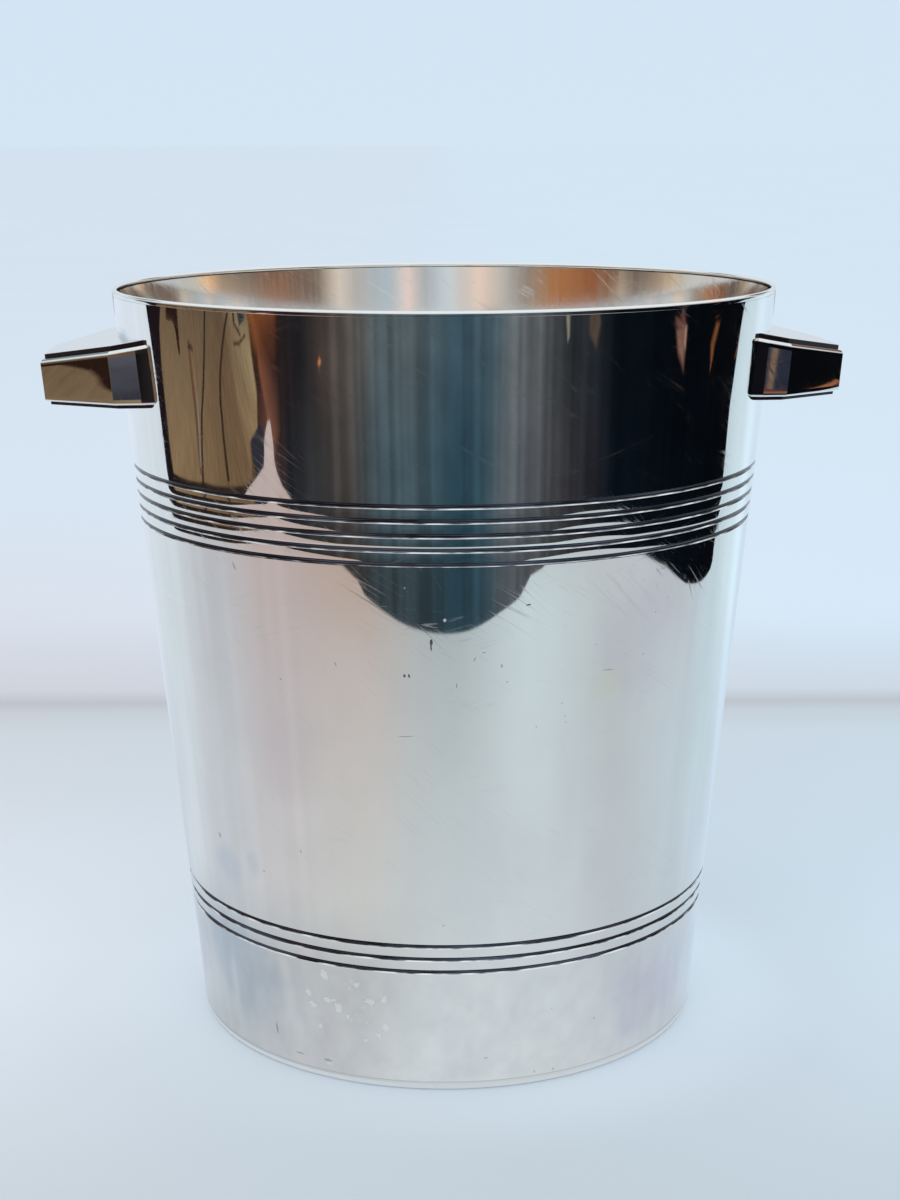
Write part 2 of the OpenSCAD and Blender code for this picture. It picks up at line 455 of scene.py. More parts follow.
# The room beyond the table, from the viewer's left round to the right.
ROOM = [(-180, (196, 204, 212)), (-128, (196, 204, 212)), (-122, (26, 22, 24)), (-114, (26, 22, 24)), (-108, (90, 74, 58)), (-100, (120, 100, 80)),
        (-70, (104, 84, 62)), (-62, (48, 32, 30)), (-45, (34, 30, 33)), (-32, (74, 70, 68)), (-16, (80, 90, 94)), (10, (62, 84, 92)),
        (22, (86, 92, 96)), (38, (56, 57, 60)), (50, (32, 34, 40)), (66, (6, 10, 16)), (124, (8, 9, 12)), (130, (196, 210, 218)),
        (180, (196, 204, 212))]


# In front of the bucket the same things change tone with distance.
NEAR = [(-60, (92, 60, 50)), (-52, (30, 33, 38)), (-44, (50, 52, 54)), (-32, (70, 65, 62)), (-22, (62, 76, 83)), (-12, (68, 84, 92)),
        (0, (48, 70, 80)), (4, (38, 62, 73)), (12, (54, 80, 92)), (19, (84, 92, 98)), (28, (82, 86, 90)), (35, (66, 67, 70)),
        (42, (48, 48, 53)), (52, (30, 31, 36)), (58, (8, 16, 24)), (90, (6, 11, 17)), (112, (6, 8, 12))]
FAR = [(-60, (42, 30, 28)), (-46, (32, 31, 34)), (-39, (70, 61, 56)), (-27, (88, 86, 83)), (-20, (75, 88, 93)), (-10, (80, 90, 94)),
       (4, (55, 77, 87)), (15, (67, 87, 97)), (21, (93, 101, 104)), (31, (84, 87, 90)), (41, (38, 42, 45)), (50, (36, 40, 45)),
       (57, (9, 15, 21)), (90, (5, 9, 14)), (112, (6, 8, 12))]


STREAKS = np.random.RandomState(5).rand(161)


def room_tone(x, y):
    a, r = az_r(x, y)
    c = blend_table(a, ROOM)
    if -66 < a < 112:
        k = min(1.0, max(0.0, (r - 630.0) / 190.0))
        f = blend_table(a, NEAR) * (1 - k) + blend_table(a, FAR) * k
        f = f * (1.0 - min(1.0, max(0.0, (560.0 - r) / 140.0)) * (0.24 if a < 0 else 0.10))
        f = f * (0.87 + 0.26 * float(np.interp(a, np.linspace(-66, 112, 161), STREAKS)))
        w = min(1.0, (a + 66) / 3.0) * min(1.0, (112 - a) / 10.0)
        c = c * (1 - w) + f * w
    if abs(a) > 150 and r > 700:                                # only the bucket's back sees this
        k = min(1.0, (abs(a) - 150) / 20.0) * min(1.0, (r - 700) / 300.0)
        c = c * (1 - 0.55 * k) + np.array((96, 104, 112), float) * 0.55 * k
    return c


radial_card("room", lambda a: 2600.0, room_tone, 90, [k * 0.75 for k in range(-240, 240)], feather=60, r_min=340,
            grain=0.17, grain_scale=10.0)


def ribbon(points, widths):
    """The outline of a strip that follows a few points, with a width at each."""
    pts = [Vector(q) for q in points]
    left, right = [], []
    for k, q in enumerate(pts):
        u = (pts[min(k + 1, len(pts) - 1)] - pts[max(k - 1, 0)]).normalized()
        nrm = Vector((-u.y, u.x)) * widths[k] / 2
        left.append(q + nrm)
        right.append(q - nrm)
    return left + right[::-1]


# Wood at the viewer's left, with the dark gaps between its boards.
flat_card("left_strip", [(-500, 280), (-500, -200), (-556, -236), (-590, -236), (-640, -150), (-690, 6), (-710, 140), (-720, 285), (-640, 300)],
          lambda x, y: blend_table(y, [(-240, (46, 36, 30)), (-60, (56, 48, 44)), (60, (36, 32, 32)), (280, (28, 22, 25))]), feather=14,
          grain=0.2, grain_scale=20)
flat_card("wood", [(-688, 250), (-672, 120), (-656, 6), (-606, -132), (-572, -216), (-576, -240), (-613, -257), (-652, -268), (-656, -320),
                   (-723, -360), (-811, -380), (-960, -430), (-1010, -440), (-1250, -260), (-1500, 120), (-1700, 560), (-1330, 520)],
          lambda x, y: blend_table(math.hypot(x, y), [(600, (92, 72, 54)), (640, (118, 96, 70)), (700, (128, 106, 79)), (800, (142, 120, 92)), (900, (148, 130, 100)),
                                                      (970, (142, 121, 92)), (1010, (104, 88, 69)), (1100, (96, 80, 64)), (1300, (80, 66, 54))]),
          feather=7, grain=0.26, grain_scale=10, direction=math.radians(12), stretch=11.0)
for k, (pts, wid, c) in enumerate([
        ([(-1130, -122), (-1000, -80), (-900, -42), (-820, -8), (-740, 8), (-640, 14)], [15, 14, 15, 13, 12, 12], (44, 35, 30)),
        ([(-1030, -300), (-940, -214), (-880, -172), (-820, -151), (-720, -136), (-620, -131)], [16, 14, 13, 13, 12, 12], (44, 33, 28)),
        ([(-1060, 62), (-900, 44), (-780, 30), (-680, 20)], [22, 20, 18, 14], (94, 68, 52)),
        ([(-884, 18), (-800, 20), (-700, 21)], [8, 9, 8], (120, 121, 110)),
        ([(-1042, 72), (-1034, 44), (-1018, 26)], [12, 16, 10], (52, 42, 36)),
        ([(-1010, -336), (-960, -322), (-900, -346)], [14, 12, 9], (52, 38, 30)),
        ([(-908, -292), (-888, -328), (-884, -374)], [8, 12, 10], (62, 45, 35)),
        ([(-1180, -10), (-1000, 2), (-900, 6)], [6, 8, 5], (104, 84, 62)),
        ([(-990, -132), (-860, -86), (-760, -66)], [5, 8, 6], (112, 92, 68)),
        ([(-900, -250), (-800, -226), (-700, -214)], [6, 7, 6], (106, 84, 62))]):
    flat_card(f"gap{k}", ribbon(pts, wid), c, feather=5, grain=0.2, grain_scale=30)
flat_card("left_dark", [(-594, 300), (-594, 215), (-690, 240), (-740, 268), (-960, 372), (-1140, 412), (-1290, 400), (-1600, 560), (-1500, 760),
                        (-1190, 640), (-1000, 500), (-720, 345)], (27, 21, 25), feather=12)
flat_card("left_notch", [(-570, -262), (-612, -262), (-648, -274), (-657, -330), (-640, -345), (-604, -322), (-574, -312)],
          (42, 44, 52), feather=6)
# What the left handle's long face sees above the wood, and its next face.
flat_card("left_far_shade", [(-1166, 280), (-1164, 250), (-1158, 233), (-1138, 214), (-1119, 199), (-1092, 189), (-1064, 181), (-1046, 174), (-1030, 164),
                             (-1024, 152), (-1190, 170), (-1420, 180), (-1420, 330), (-1180, 320)], (38, 24, 18), feather=6, grain=0.2, grain_scale=20)
flat_card("left_far_grey", [(-928, -350), (-1160, -392), (-1250, -470), (-1160, -504), (-1050, -452), (-928, -390)],
          lambda x, y: blend_table(-x, [(940, (46, 46, 54)), (1040, (62, 62, 72)), (1160, (84, 84, 94))]), feather=10, grain=0.25, grain_scale=16)
flat_card("left_far_root", [(-800, -680), (-1030, -880), (-1080, -850), (-860, -640)], (9, 8, 10), feather=14)
# Warm timber and the dark beside it.
flat_card("timber", [(-640, -350), (-723, -366), (-811, -386), (-960, -436), (-1030, -540), (-880, -620), (-700, -480), (-590, -400), (-560, -352)],
          lambda x, y: blend_table(math.hypot(x, y), [(620, (108, 70, 60)), (705, (108, 73, 60)), (770, (62, 40, 34)), (850, (44, 30, 30)), (930, (52, 33, 29)),
                                                      (990, (122, 70, 37)), (1100, (120, 70, 40))]), feather=30, grain=0.3, grain_scale=12)
flat_card("timber_glow", [(-760, -374), (-830, -392), (-960, -440), (-980, -480), (-880, -440), (-780, -402)],
          lambda x, y: blend_table(math.hypot(x, y), [(820, (48, 31, 29)), (910, (62, 40, 32)), (960, (112, 68, 38)), (1010, (156, 92, 46))]), feather=14, grain=0.2, grain_scale=20)
# Small warm and pale things in the dark at the right.
flat_card("right_warm", [(930, -70), (1062, -66), (1062, -120), (1050, -165), (960, -120)], (120, 88, 76), feather=26, grain=0.3, grain_scale=20)
flat_card("right_warm2", [(985, -62), (1066, -66), (1066, -80), (1000, -80)], (150, 118, 104), feather=8)
flat_card("right_amber", [(960, 175), (1050, 215), (1160, 290), (1150, 245), (1060, 185)], (118, 74, 44), feather=26, grain=0.3, grain_scale=20)
flat_card("right_brown", [(660, -560), (730, -590), (770, -640), (710, -660), (655, -610)], (78, 66, 58), feather=16, grain=0.2, grain_scale=20)
flat_card("right_streak", [(548, -662), (566, -668), (606, -716), (612, -742), (590, -730)], (126, 122, 112), feather=9)
flat_card("right_panel", [(1066, -86), (1320, -92), (1330, -140), (1066, -128)], (40, 44, 58), feather=8, grain=0.2, grain_scale=20)
flat_card("right_post", [(1066, -104), (1312, -119), (1313, -125), (1066, -108.4)], (118, 98, 82), feather=2.0, grain=0.2, grain_scale=20)
flat_card("right_post_foot", [(1062, -84), (1088, -86), (1092, -126), (1062, -124)], (92, 50, 40), feather=8, grain=0.2, grain_scale=20)
flat_card("right_glow", ribbon([(1006, 498), (1022, 520), (1040, 541), (1052, 550)], [4, 6, 7, 5]), (150, 96, 62), feather=3)
flat_card("right_root", [(1000, -440), (1300, -560), (1320, -600), (1000, -490)], (16, 15, 20), feather=14)
flat_card("left_spark", [(-536, -622), (-524, -620), (-522, -634), (-534, -636)], (190, 120, 80), feather=6)


# The white table itself, out to its edges.
TABLE_EDGE = [(-234, -378), (-262, -374), (-300, -371), (-340, -364), (-395, -350), (-448, -342), (-487, -337), (-524, -339), (-551, -345),
              (-570, -358), (-601, -371), (-627, -380), (-635, -370), (-622, -346), (-606, -327), (-590, -318), (-572, -313), (-567, -298),
              (-566, -277), (-563, -250), (-561, -215), (-550, -180), (-541, -122), (-562, -50),
              (-582, 30), (-592, 110), (-596, 200), (-606, 240), (-640, 272), (-706, 325), (-773, 354), (-839, 392), (-980, 475),
              (-1121, 570), (-1192, 623), (-1500, 840), (-2000, 2200), (2000, 2200), (1500, 1100), (1330, 840), (1210, 702),
              (1130, 628), (1063, 575), (1002, 530), (919, 470), (846, 414), (757, 367), (665, 320), (576, 264), (531, 230),
              (492, 207), (481, 190), (474, 160), (470, 130), (469, 93), (470, 39), (474, 13), (479, -25), (481, -61), (476, -104),
              (469, -145), (460, -172), (452, -217), (449, -254), (438, -290), (416, -322), (387, -345), (353, -362), (311, -371),
              (271, -376), (240, -377), (208, -384), (174, -375), (124, -377), (50, -373), (-60, -375), (-149, -375), (-190, -374),
              (-214, -380)]


def edge_radius(a):
    """Where a ray from the middle, in direction a, crosses the table's edge."""
    dx, dy = math.sin(math.radians(a)), -math.cos(math.radians(a))
    best = 0.0
    for p, q in zip(TABLE_EDGE, TABLE_EDGE[1:] + TABLE_EDGE[:1]):
        ex, ey = q[0] - p[0], q[1] - p[1]
        den = dx * ey - dy * ex
        if abs(den) < 1e-9:
            continue
        t = (p[0] * ey - p[1] * ex) / den
        s = (p[0] * dy - p[1] * dx) / den
        if t > 0 and -1e-9 <= s <= 1 + 1e-9:
            best = max(best, t)
    return best


# Tone of the white table by distance, in a few directions.
TABLE = {
    -150: [(90, (196, 204, 214)), (480, (212, 220, 230)), (1200, (216, 226, 236))],
    -133: [(90, (194, 204, 212)), (480, (206, 216, 222)), (1200, (212, 222, 232))],
    -120: [(90, (194, 204, 212)), (130, (196, 206, 212)), (170, (206, 214, 222)), (480, (202, 212, 218)), (1200, (212, 220, 228))],
    -90: [(90, (190, 198, 206)), (120, (176, 186, 196)), (170, (192, 198, 204)), (520, (184, 186, 190))],
    -60: [(90, (176, 184, 190)), (120, (178, 184, 188)), (170, (198, 198, 200)), (280, (188, 184, 186)), (520, (184, 168, 164))],
    -30: [(90, (184, 188, 192)), (120, (178, 182, 184)), (170, (196, 198, 196)), (340, (188, 180, 176)), (470, (176, 156, 144))],
    0: [(90, (200, 208, 212)), (400, (166, 176, 178))],
    30: [(90, (196, 204, 208)), (400, (194, 208, 212)), (480, (184, 194, 196))],
    60: [(90, (188, 196, 204)), (340, (180, 188, 190)), (480, (186, 192, 196))],
    90: [(90, (194, 208, 220)), (120, (188, 200, 208)), (280, (188, 200, 208)), (520, (180, 184, 190))],
    115: [(90, (198, 212, 226)), (280, (190, 208, 216)), (1200, (192, 208, 216))],
    128: [(90, (200, 216, 228)), (280, (194, 210, 220)), (520, (204, 224, 232)), (1200, (198, 216, 224))],
    138: [(90, (200, 216, 228)), (280, (200, 218, 232)), (520, (216, 238, 250)), (1200, (212, 232, 244))],
    150: [(90, (198, 214, 228)), (1200, (204, 222, 232))],
}
TABLE_AZ = sorted(TABLE)


def table_tone(x, y):
    a, r = az_r(x, y)
    if a < TABLE_AZ[0] or a > TABLE_AZ[-1]:
        a0, a1 = TABLE_AZ[-1], TABLE_AZ[0] + 360
        t = ((a if a > 0 else a + 360) - a0) / (a1 - a0)
        lo, hi = TABLE[TABLE_AZ[-1]], TABLE[TABLE_AZ[0]]
    else:
        for a0, a1 in zip(TABLE_AZ, TABLE_AZ[1:]):
            if a0 <= a <= a1:
                break
        t = (a - a0) / (a1 - a0)
        lo, hi = TABLE[a0], TABLE[a1]
    t = t * t * (3 - 2 * t)
    return blend_table(r, lo) * (1 - t) + blend_table(r, hi) * t


table_az = sorted(set([round(-180 + k * 0.75, 3) for k in range(480)]
                      + [round(az_r(*p)[0], 3) for p in TABLE_EDGE]))
radial_card("table", edge_radius, table_tone, 40, table_az, feather=2.2, r_min=60, grain=0.010, grain_scale=9.0)

# What stands above eye level in front: a soft, warm surround, seen in the inside
# of the bucket. It has one set of tones just above the horizon and one higher up.
HIGH = [(-180, (205, 214, 222)), (-125, (198, 198, 196)), (-108, (188, 186, 184)), (-100, (138, 116, 98)), (-76, (78, 66, 60)), (-60, (140, 84, 50)),
        (-44, (162, 108, 66)), (-32, (140, 128, 118)), (-24, (176, 174, 168)), (-14, (228, 202, 182)), (0, (184, 196, 203)), (8, (168, 172, 175)),
        (14, (228, 204, 192)), (22, (166, 182, 192)), (36, (178, 172, 166)), (42, (208, 196, 180)), (51, (118, 102, 90)), (70, (102, 82, 70)),
        (92, (94, 82, 75)), (102, (145, 112, 92)), (110, (196, 194, 178)), (126, (182, 190, 196)), (180, (205, 214, 222))]
LOW = [(-180, (205, 214, 222)), (-125, (198, 198, 196)), (-104, (190, 190, 180)), (-96, (206, 180, 150)), (-84, (150, 134, 115)), (-78, (150, 134, 118)),
       (-72, (250, 232, 200)), (-66, (170, 136, 102)), (-57, (150, 96, 56)), (-42, (170, 118, 76)), (-28, (184, 182, 175)), (-14, (234, 214, 198)),
       (0, (190, 201, 206)), (8, (178, 183, 187)), (15, (230, 212, 203)), (22, (188, 201, 207)), (38, (190, 186, 175)), (44, (224, 218, 195)),
       (52, (120, 100, 88)), (66, (200, 128, 80)), (80, (162, 144, 124)), (94, (170, 148, 122)), (100, (248, 194, 138)), (108, (190, 186, 170)),
       (126, (182, 190, 196)), (180, (205, 214, 222))]


def upper_card():
    n_az = 720
    rows = [(0.0, 1.0), (0.10, 1.0), (0.17, 1.0), (0.215, 1.0), (0.26, 1.0), (0.31, 1.0), (0.345, 1.0), (0.372, 1.0), (0.400, 1.0), (0.44, 1.0),
            (0.50, 1.0), (0.58, 0.9), (0.68, 0.45), (0.80, 0.0)]
    r = 2.2
    verts, tone, fade = [], [], []
    for i in range(n_az):
        a = -180 + i * 0.5
        hi, lo, d = blend_table(a, HIGH), blend_table(a, LOW), blend_table(a, ROOM)
        back = min(1.0, max(0.0, (abs(a) - 132.0) / 10.0))
        for k, (z, f) in enumerate(rows):
            verts.append((r * math.sin(math.radians(a)), -r * math.cos(math.radians(a)), z))
            w = min(1.0, max(0.0, (z - 0.20) / 0.06))
            h = min(1.0, max(0.0, (z - 0.35) / 0.05))
            c = lo * (1 - h) + hi * h
            tone.append(list(lin(d * (1 - w) + c * w) / SILVER) + [1.0])
            fade.append(f * (1.0 - back))
    m = len(rows)
    faces = [(i * m + k, ((i + 1) % n_az) * m + k, ((i + 1) % n_az) * m + k + 1, i * m + k + 1)
             for i in range(n_az) for k in range(m - 1)]
    ob = mesh_object("card_upper", verts, faces, False)
    point_attribute(ob, "tone", tone, "FLOAT_COLOR")
    point_attribute(ob, "fade", fade)
    return as_card(ob, card_material("card_upper", grain=0.10, grain_scale=3.0))


upper_card()


def high_card(name, az0, az1, el0, el1, colour, r=2.2, z0=0.2, steps=10):
    """A small upright card above the horizon, soft all round, seen in a handle's upper chamfer."""
    verts, tone, fade = [], [], []
    for i in range(steps + 1):
        a = math.radians(az0 + (az1 - az0) * i / steps)
        for k in range(steps + 1):
            e = math.radians(el0 + (el1 - el0) * k / steps)
            verts.append((r * math.sin(a), -r * math.cos(a), z0 + r * math.tan(e)))
            tone.append(list(lin(np.asarray(colour(i / steps) if callable(colour) else colour, float)) / SILVER) + [1.0])
            u, v = min(i, steps - i) / 2.0, min(k, steps - k) / 2.0
            fade.append(min(1.0, u) * min(1.0, v))
    m = steps + 1
    faces = [(i * m + k, (i + 1) * m + k, (i + 1) * m + k + 1, i * m + k + 1) for i in range(steps) for k in range(steps)]
    ob = mesh_object("card_" + name, verts, faces, False)
    point_attribute(ob, "tone", tone, "FLOAT_COLOR")
    point_attribute(ob, "fade", fade)
    return as_card(ob, card_material("card_" + name, grain=0.10, grain_scale=3.0))


high_card("over_left", -150, -124, 16, 32, lambda t: np.array((150, 172, 172)) * (1 - t) + np.array((60, 76, 80)) * t)
high_card("over_right", 132, 154, 9, 24, lambda t: np.array((118, 80, 58)) * (1 - t) + np.array((96, 74, 64)) * t)

# Soft light from above and a little to the left.
lamp = bpy.data.lights.new("soft_light", "AREA")
lamp.shape = "DISK"
lamp.size = 1.6
lamp.energy = 3.0
lamp_ob = bpy.data.objects.new("soft_light", lamp)
lamp_ob.location = (-0.7, -0.6, 1.6)
lamp_ob.rotation_euler = (Vector((0, 0, 0.1)) - Vector(lamp_ob.location)).to_track_quat("-Z", "Y").to_euler()
lamp_ob.visible_glossy = False
scene.collection.objects.link(lamp_ob)

# ------------------------------------------------------------- materials ----
# Small marks worn into the front of the wall. Each is (degrees to the right of
# the viewer, height, half width, half height, turn in degrees), in mm.
DARK_MARKS = [(-2.3, 133.3, 0.44, 1.0, 0), (-2.35, 131.9, 0.22, 1.1, 4), (-7.0, 123.9, 0.36, 0.55, 0), (-6.2, 123.9, 0.31, 0.60, 10),
              (14.2, 142.9, 0.75, 0.24, 6)]
FAINT_MARKS = [(2.0, 121.2, 0.23, 0.90, 0), (5.1, 128.5, 0.23, 0.83, -24), (6.7, 130.3, 0.64, 0.22, 8),
              (27.2, 130.1, 0.27, 0.27, 0), (39.9, 136.5, 0.27, 0.27, 0), (37.8, 125.1, 0.27, 0.27, 0), (21.8, 110.9, 0.25, 0.25, 0),
              (22.0, 109.1, 0.25, 0.25, 0), (16.4, 108.6, 0.27, 0.27, 0), (30.0, 122.4, 2.3, 0.20, -3), (-19.3, 126.1, 0.23, 0.84, 20),
              (-7.0, 106.8, 2.7, 0.20, 4), (-30.5, 120.0, 0.37, 0.37, 0), (-52.1, 67.3, 0.72, 1.15, 25), (-38.9, 61.1, 0.55, 0.30, 15),
              (-29.1, 69.9, 0.35, 0.55, 0), (-26.4, 6.0, 1.9, 0.46, 0), (-33.6, 6.0, 2.1, 0.30, 0), (-39.6, 11.7, 0.56, 2.3, 6),
              (8.2, 10.0, 0.83, 0.29, 5), (19.0, 3.9, 0.40, 0.40, 0), (23.4, 3.7, 0.42, 0.42, 0), (-0.5, 51.4, 0.44, 0.24, 0)]
BROWN_MARKS = [(9.8, 126.4, 0.39, 0.56, 0), (10.8, 121.8, 0.30, 0.30, 0), (-38.8, 150.1, 0.36, 1.4, 22), (33.0, 17.0, 0.30, 0.45, 0)]
LIGHT_MARKS = [(0.0, 139.4, 0.50, 0.55, 0), (-6.6, 148.1, 0.23, 0.23, 0), (-60.5, 135.9, 13.0, 0.22, -1.5), (-26.0, 4.9, 1.5, 0.25, 0)]
WATER_SPOTS = [(-25.9, 33.1, 1.42, 1.9, 10), (-30.0, 26.5, 1.33, 1.28, 0), (-29.2, 23.0, 1.89, 0.96, -12), (-23.0, 23.3, 1.4, 1.59, 0),
               (-20.9, 21.3, 0.69, 0.79, 0), (-20.1, 20.1, 0.54, 0.51, 0), (-16.8, 20.0, 0.53, 0.63, 0), (-12.9, 27.6, 1.11, 0.94, 15),
               (-16.0, 26.7, 1.95, 0.94, -8), (-12.7, 19.0, 1.13, 1.26, 0), (-14.3, 16.3, 0.82, 0.79, 0), (-18.7, 31.5, 0.99, 0.94, 0),
               (-24.9, 25.4, 2.85, 0.64, 6), (-17.2, 14.5, 0.67, 0.64, 0), (-27.5, 16.5, 1.12, 0.97, 0)]


def silver(name, base=(0.930, 0.920, 0.895), deep=(0.800, 0.800, 0.800), rough=0.02, wear=1.0, groove=True, wall=False):
    """Worn silver plate: bright metal, faint cloudy tarnish, fine polishing lines, stray
    scratches and small pits. Shared by every piece, with its own strength on each."""
    n = Nodes(name)
    co = n.add("ShaderNodeTexCoord").outputs["Object"]
    uv = n.add("ShaderNodeUVMap", uv_map="surface").outputs[0]          # 1 unit is 100 mm

    # cloudy tarnish
    cloud = n.noise(co, 22.0, 5.0, 0.6)
    cloud2 = n.noise(co, 7.0, 3.0, 0.5)
    haze = n.math("MULTIPLY", n.steps(cloud, 0.42, 0.72), n.steps(cloud2, 0.35, 0.65))
    # fine polishing lines, mostly level, with some that wander
    level = n.noise(n.mapping(uv, scale=(2.2, 150.0, 1.0)), 4.0, 3.0, 0.65)
    slant = n.noise(n.mapping(uv, rot=(0, 0, math.radians(-34)), scale=(0.22, 0.011, 1.0), kind="TEXTURE"), 4.0, 2.0, 0.6)

    # stray scratches: thin lines where a long, stretched noise crosses its middle
    def scratch(angle, long_mm, cross_mm, half_mm, seed, gate_lo=0.54):
        f = n.noise(n.mapping(uv, loc=(seed, seed * 0.7, 0), rot=(0, 0, math.radians(angle)),
                              scale=(long_mm / 100.0, cross_mm / 100.0, 1.0), kind="TEXTURE"), 1.0, 1.0, 0.4)
        d = n.math("ABSOLUTE", n.math("SUBTRACT", f, 0.5))
        line = n.steps(d, 0.0, 1.3 * half_mm / cross_mm, 1.0, 0.0)
        gate = n.noise(n.mapping(uv, loc=(seed * 1.3, seed, 0)), 5.0, 2.0)
        return n.math("MULTIPLY", line, n.steps(gate, gate_lo, gate_lo + 0.07))
    scr = n.math("MAXIMUM", scratch(-32, 90, 2.4, 0.034, 3.1, 0.50), scratch(17, 95, 3.2, 0.034, 7.7, 0.54))
    scr = n.math("MAXIMUM", scr, scratch(-44, 80, 2.8, 0.030, 12.9, 0.51))
    scr = n.math("MAXIMUM", scr, scratch(-66, 70, 4.2, 0.032, 21.3, 0.56))
    scr = n.math("MAXIMUM", scr, scratch(-6, 120, 5.0, 0.030, 31.9, 0.57))
    # small pits
    vor = n.add("ShaderNodeTexVoronoi", feature="F1")
    n.put(vor.inputs["Vector"], n.mapping(uv, loc=(0.31, 0.17, 0)))
    vor.inputs["Scale"].default_value = 22.0
    pit_gate = n.noise(n.mapping(uv, loc=(5, 5, 0)), 6.0, 2.0)
    pit = n.math("MULTIPLY", n.steps(vor.outputs["Distance"], 0.02, 0.055, 1.0, 0.0), n.steps(pit_gate, 0.58, 0.64))

    col = n.mix(n.steps(haze, 0.0, 1.0, 0.0, 0.24 * wear), (*base, 1.0), (*deep, 1.0))
    metal = 1.0
    if wall:
        # the wall's stains and the painted shade beside the left handle multiply its colour
        stain_and_shade = n.add("ShaderNodeAttribute", attribute_name="stain_and_shade")
        col = n.mix(1.0, col, stain_and_shade.outputs["Color"], "MULTIPLY")
    col = n.mix(n.math("MULTIPLY", scr, 0.06 * wear), col, (0.55, 0.55, 0.54, 1.0))
    col = n.mix(n.math("MULTIPLY", pit, 0.55 * wear), col, (0.16, 0.15, 0.14, 1.0))
    rgh = n.math("ADD", n.steps(cloud, 0.3, 0.8, rough, rough + 0.01 * wear), n.steps(haze, 0.0, 1.0, 0.0, 0.02 * wear))
    rgh = n.math("ADD", rgh, n.math("MULTIPLY", scr, 0.105 * wear))
    rgh = n.math("ADD", rgh, n.math("MULTIPLY", n.steps(slant, 0.50, 0.72), 0.030))
    if wall:
        inside = n.add("ShaderNodeAttribute", attribute_name="inside").outputs["Fac"]
        brush = n.noise(n.mapping(uv, scale=(90.0, 3.0, 1.0)), 1.0, 2.0, 0.6)
        rgh = n.math("ADD", rgh, n.math("MULTIPLY", inside, n.steps(brush, 0.3, 0.7, 0.045, 0.090)))
        place = n.add("ShaderNodeAttribute", attribute_name="place").outputs["Vector"]

        def marks(rows, inner, outer):
            best = None
            for deg, z, hw, hz, turn in rows:
                q = n.mapping(place, loc=(math.radians(deg) * 86.0, z, 0), rot=(0, 0, math.radians(turn)),
                              scale=(hw, hz, 1.0), kind="TEXTURE")
                d = n.vmath("LENGTH", q, out=1)
                best = d if best is None else n.math("MINIMUM", best, d)
            return n.steps(best, inner, outer, 1.0, 0.0)
        plain = place
        jitter = n.add("ShaderNodeCombineXYZ", inputs={0: n.math("SUBTRACT", n.noise(plain, 0.75, 2.0), 0.5),
                                                       1: n.math("SUBTRACT", n.noise(n.mapping(plain, loc=(9, 4, 0)), 0.75, 2.0), 0.5)})
        place = n.vmath("ADD", plain, n.vmath("MULTIPLY", jitter, (2.6, 2.6, 0.0)))
        spots, ring = marks(WATER_SPOTS, 0.70, 1.0), marks(WATER_SPOTS, 1.0, 1.25)
        place = plain
        # a scatter of finer splashes round them
        cell = n.add("ShaderNodeTexVoronoi", feature="F1")
        n.put(cell.inputs["Vector"], plain)
        cell.inputs["Scale"].default_value = 0.42
        area = n.steps(n.vmath("LENGTH", n.mapping(plain, loc=(math.radians(-21) * 86.0, 24.0, 0), scale=(19.0, 15.0, 1.0), kind="TEXTURE"), out=1),
                       0.45, 1.0, 1.0, 0.0)
        fine = n.math("MULTIPLY", n.steps(cell.outputs["Distance"], 0.13, 0.24, 1.0, 0.0),
                      n.math("MULTIPLY", area, n.steps(n.noise(plain, 0.16, 2.0), 0.46, 0.58)))
        spots = n.math("MAXIMUM", spots, n.math("MULTIPLY", fine, 0.8))
        dark = n.math("MAXIMUM", marks(DARK_MARKS, 0.65, 1.05), n.math("MULTIPLY", marks(FAINT_MARKS, 0.45, 1.05), 0.48))
        brown, light = marks(BROWN_MARKS, 0.65, 1.05), marks(LIGHT_MARKS, 0.6, 1.05)
        col = n.mix(n.math("MULTIPLY", n.math("SUBTRACT", ring, spots, clamp=True), 0.10), col, (0.55, 0.56, 0.58, 1.0))
        col = n.mix(n.math("MULTIPLY", spots, 0.50), col, (0.95, 0.96, 0.96, 1.0))
        col = n.mix(n.math("MULTIPLY", light, 0.60), col, (0.98, 0.98, 0.98, 1.0))
        col = n.mix(n.math("MULTIPLY", brown, 0.45), col, (0.27, 0.16, 0.12, 1.0))
        col = n.mix(n.math("MULTIPLY", dark, 0.86), col, (0.12, 0.11, 0.11, 1.0))
        metal = n.math("SUBTRACT", 1.0, n.math("MULTIPLY", n.math("MAXIMUM", spots, light), 0.26))
        rgh = n.math("ADD", rgh, n.math("MULTIPLY", n.math("MAXIMUM", spots, n.math("MAXIMUM", light, dark)), 0.22))
    if groove:
        g = n.add("ShaderNodeAttribute", attribute_name="groove").outputs["Fac"]
        if wall:
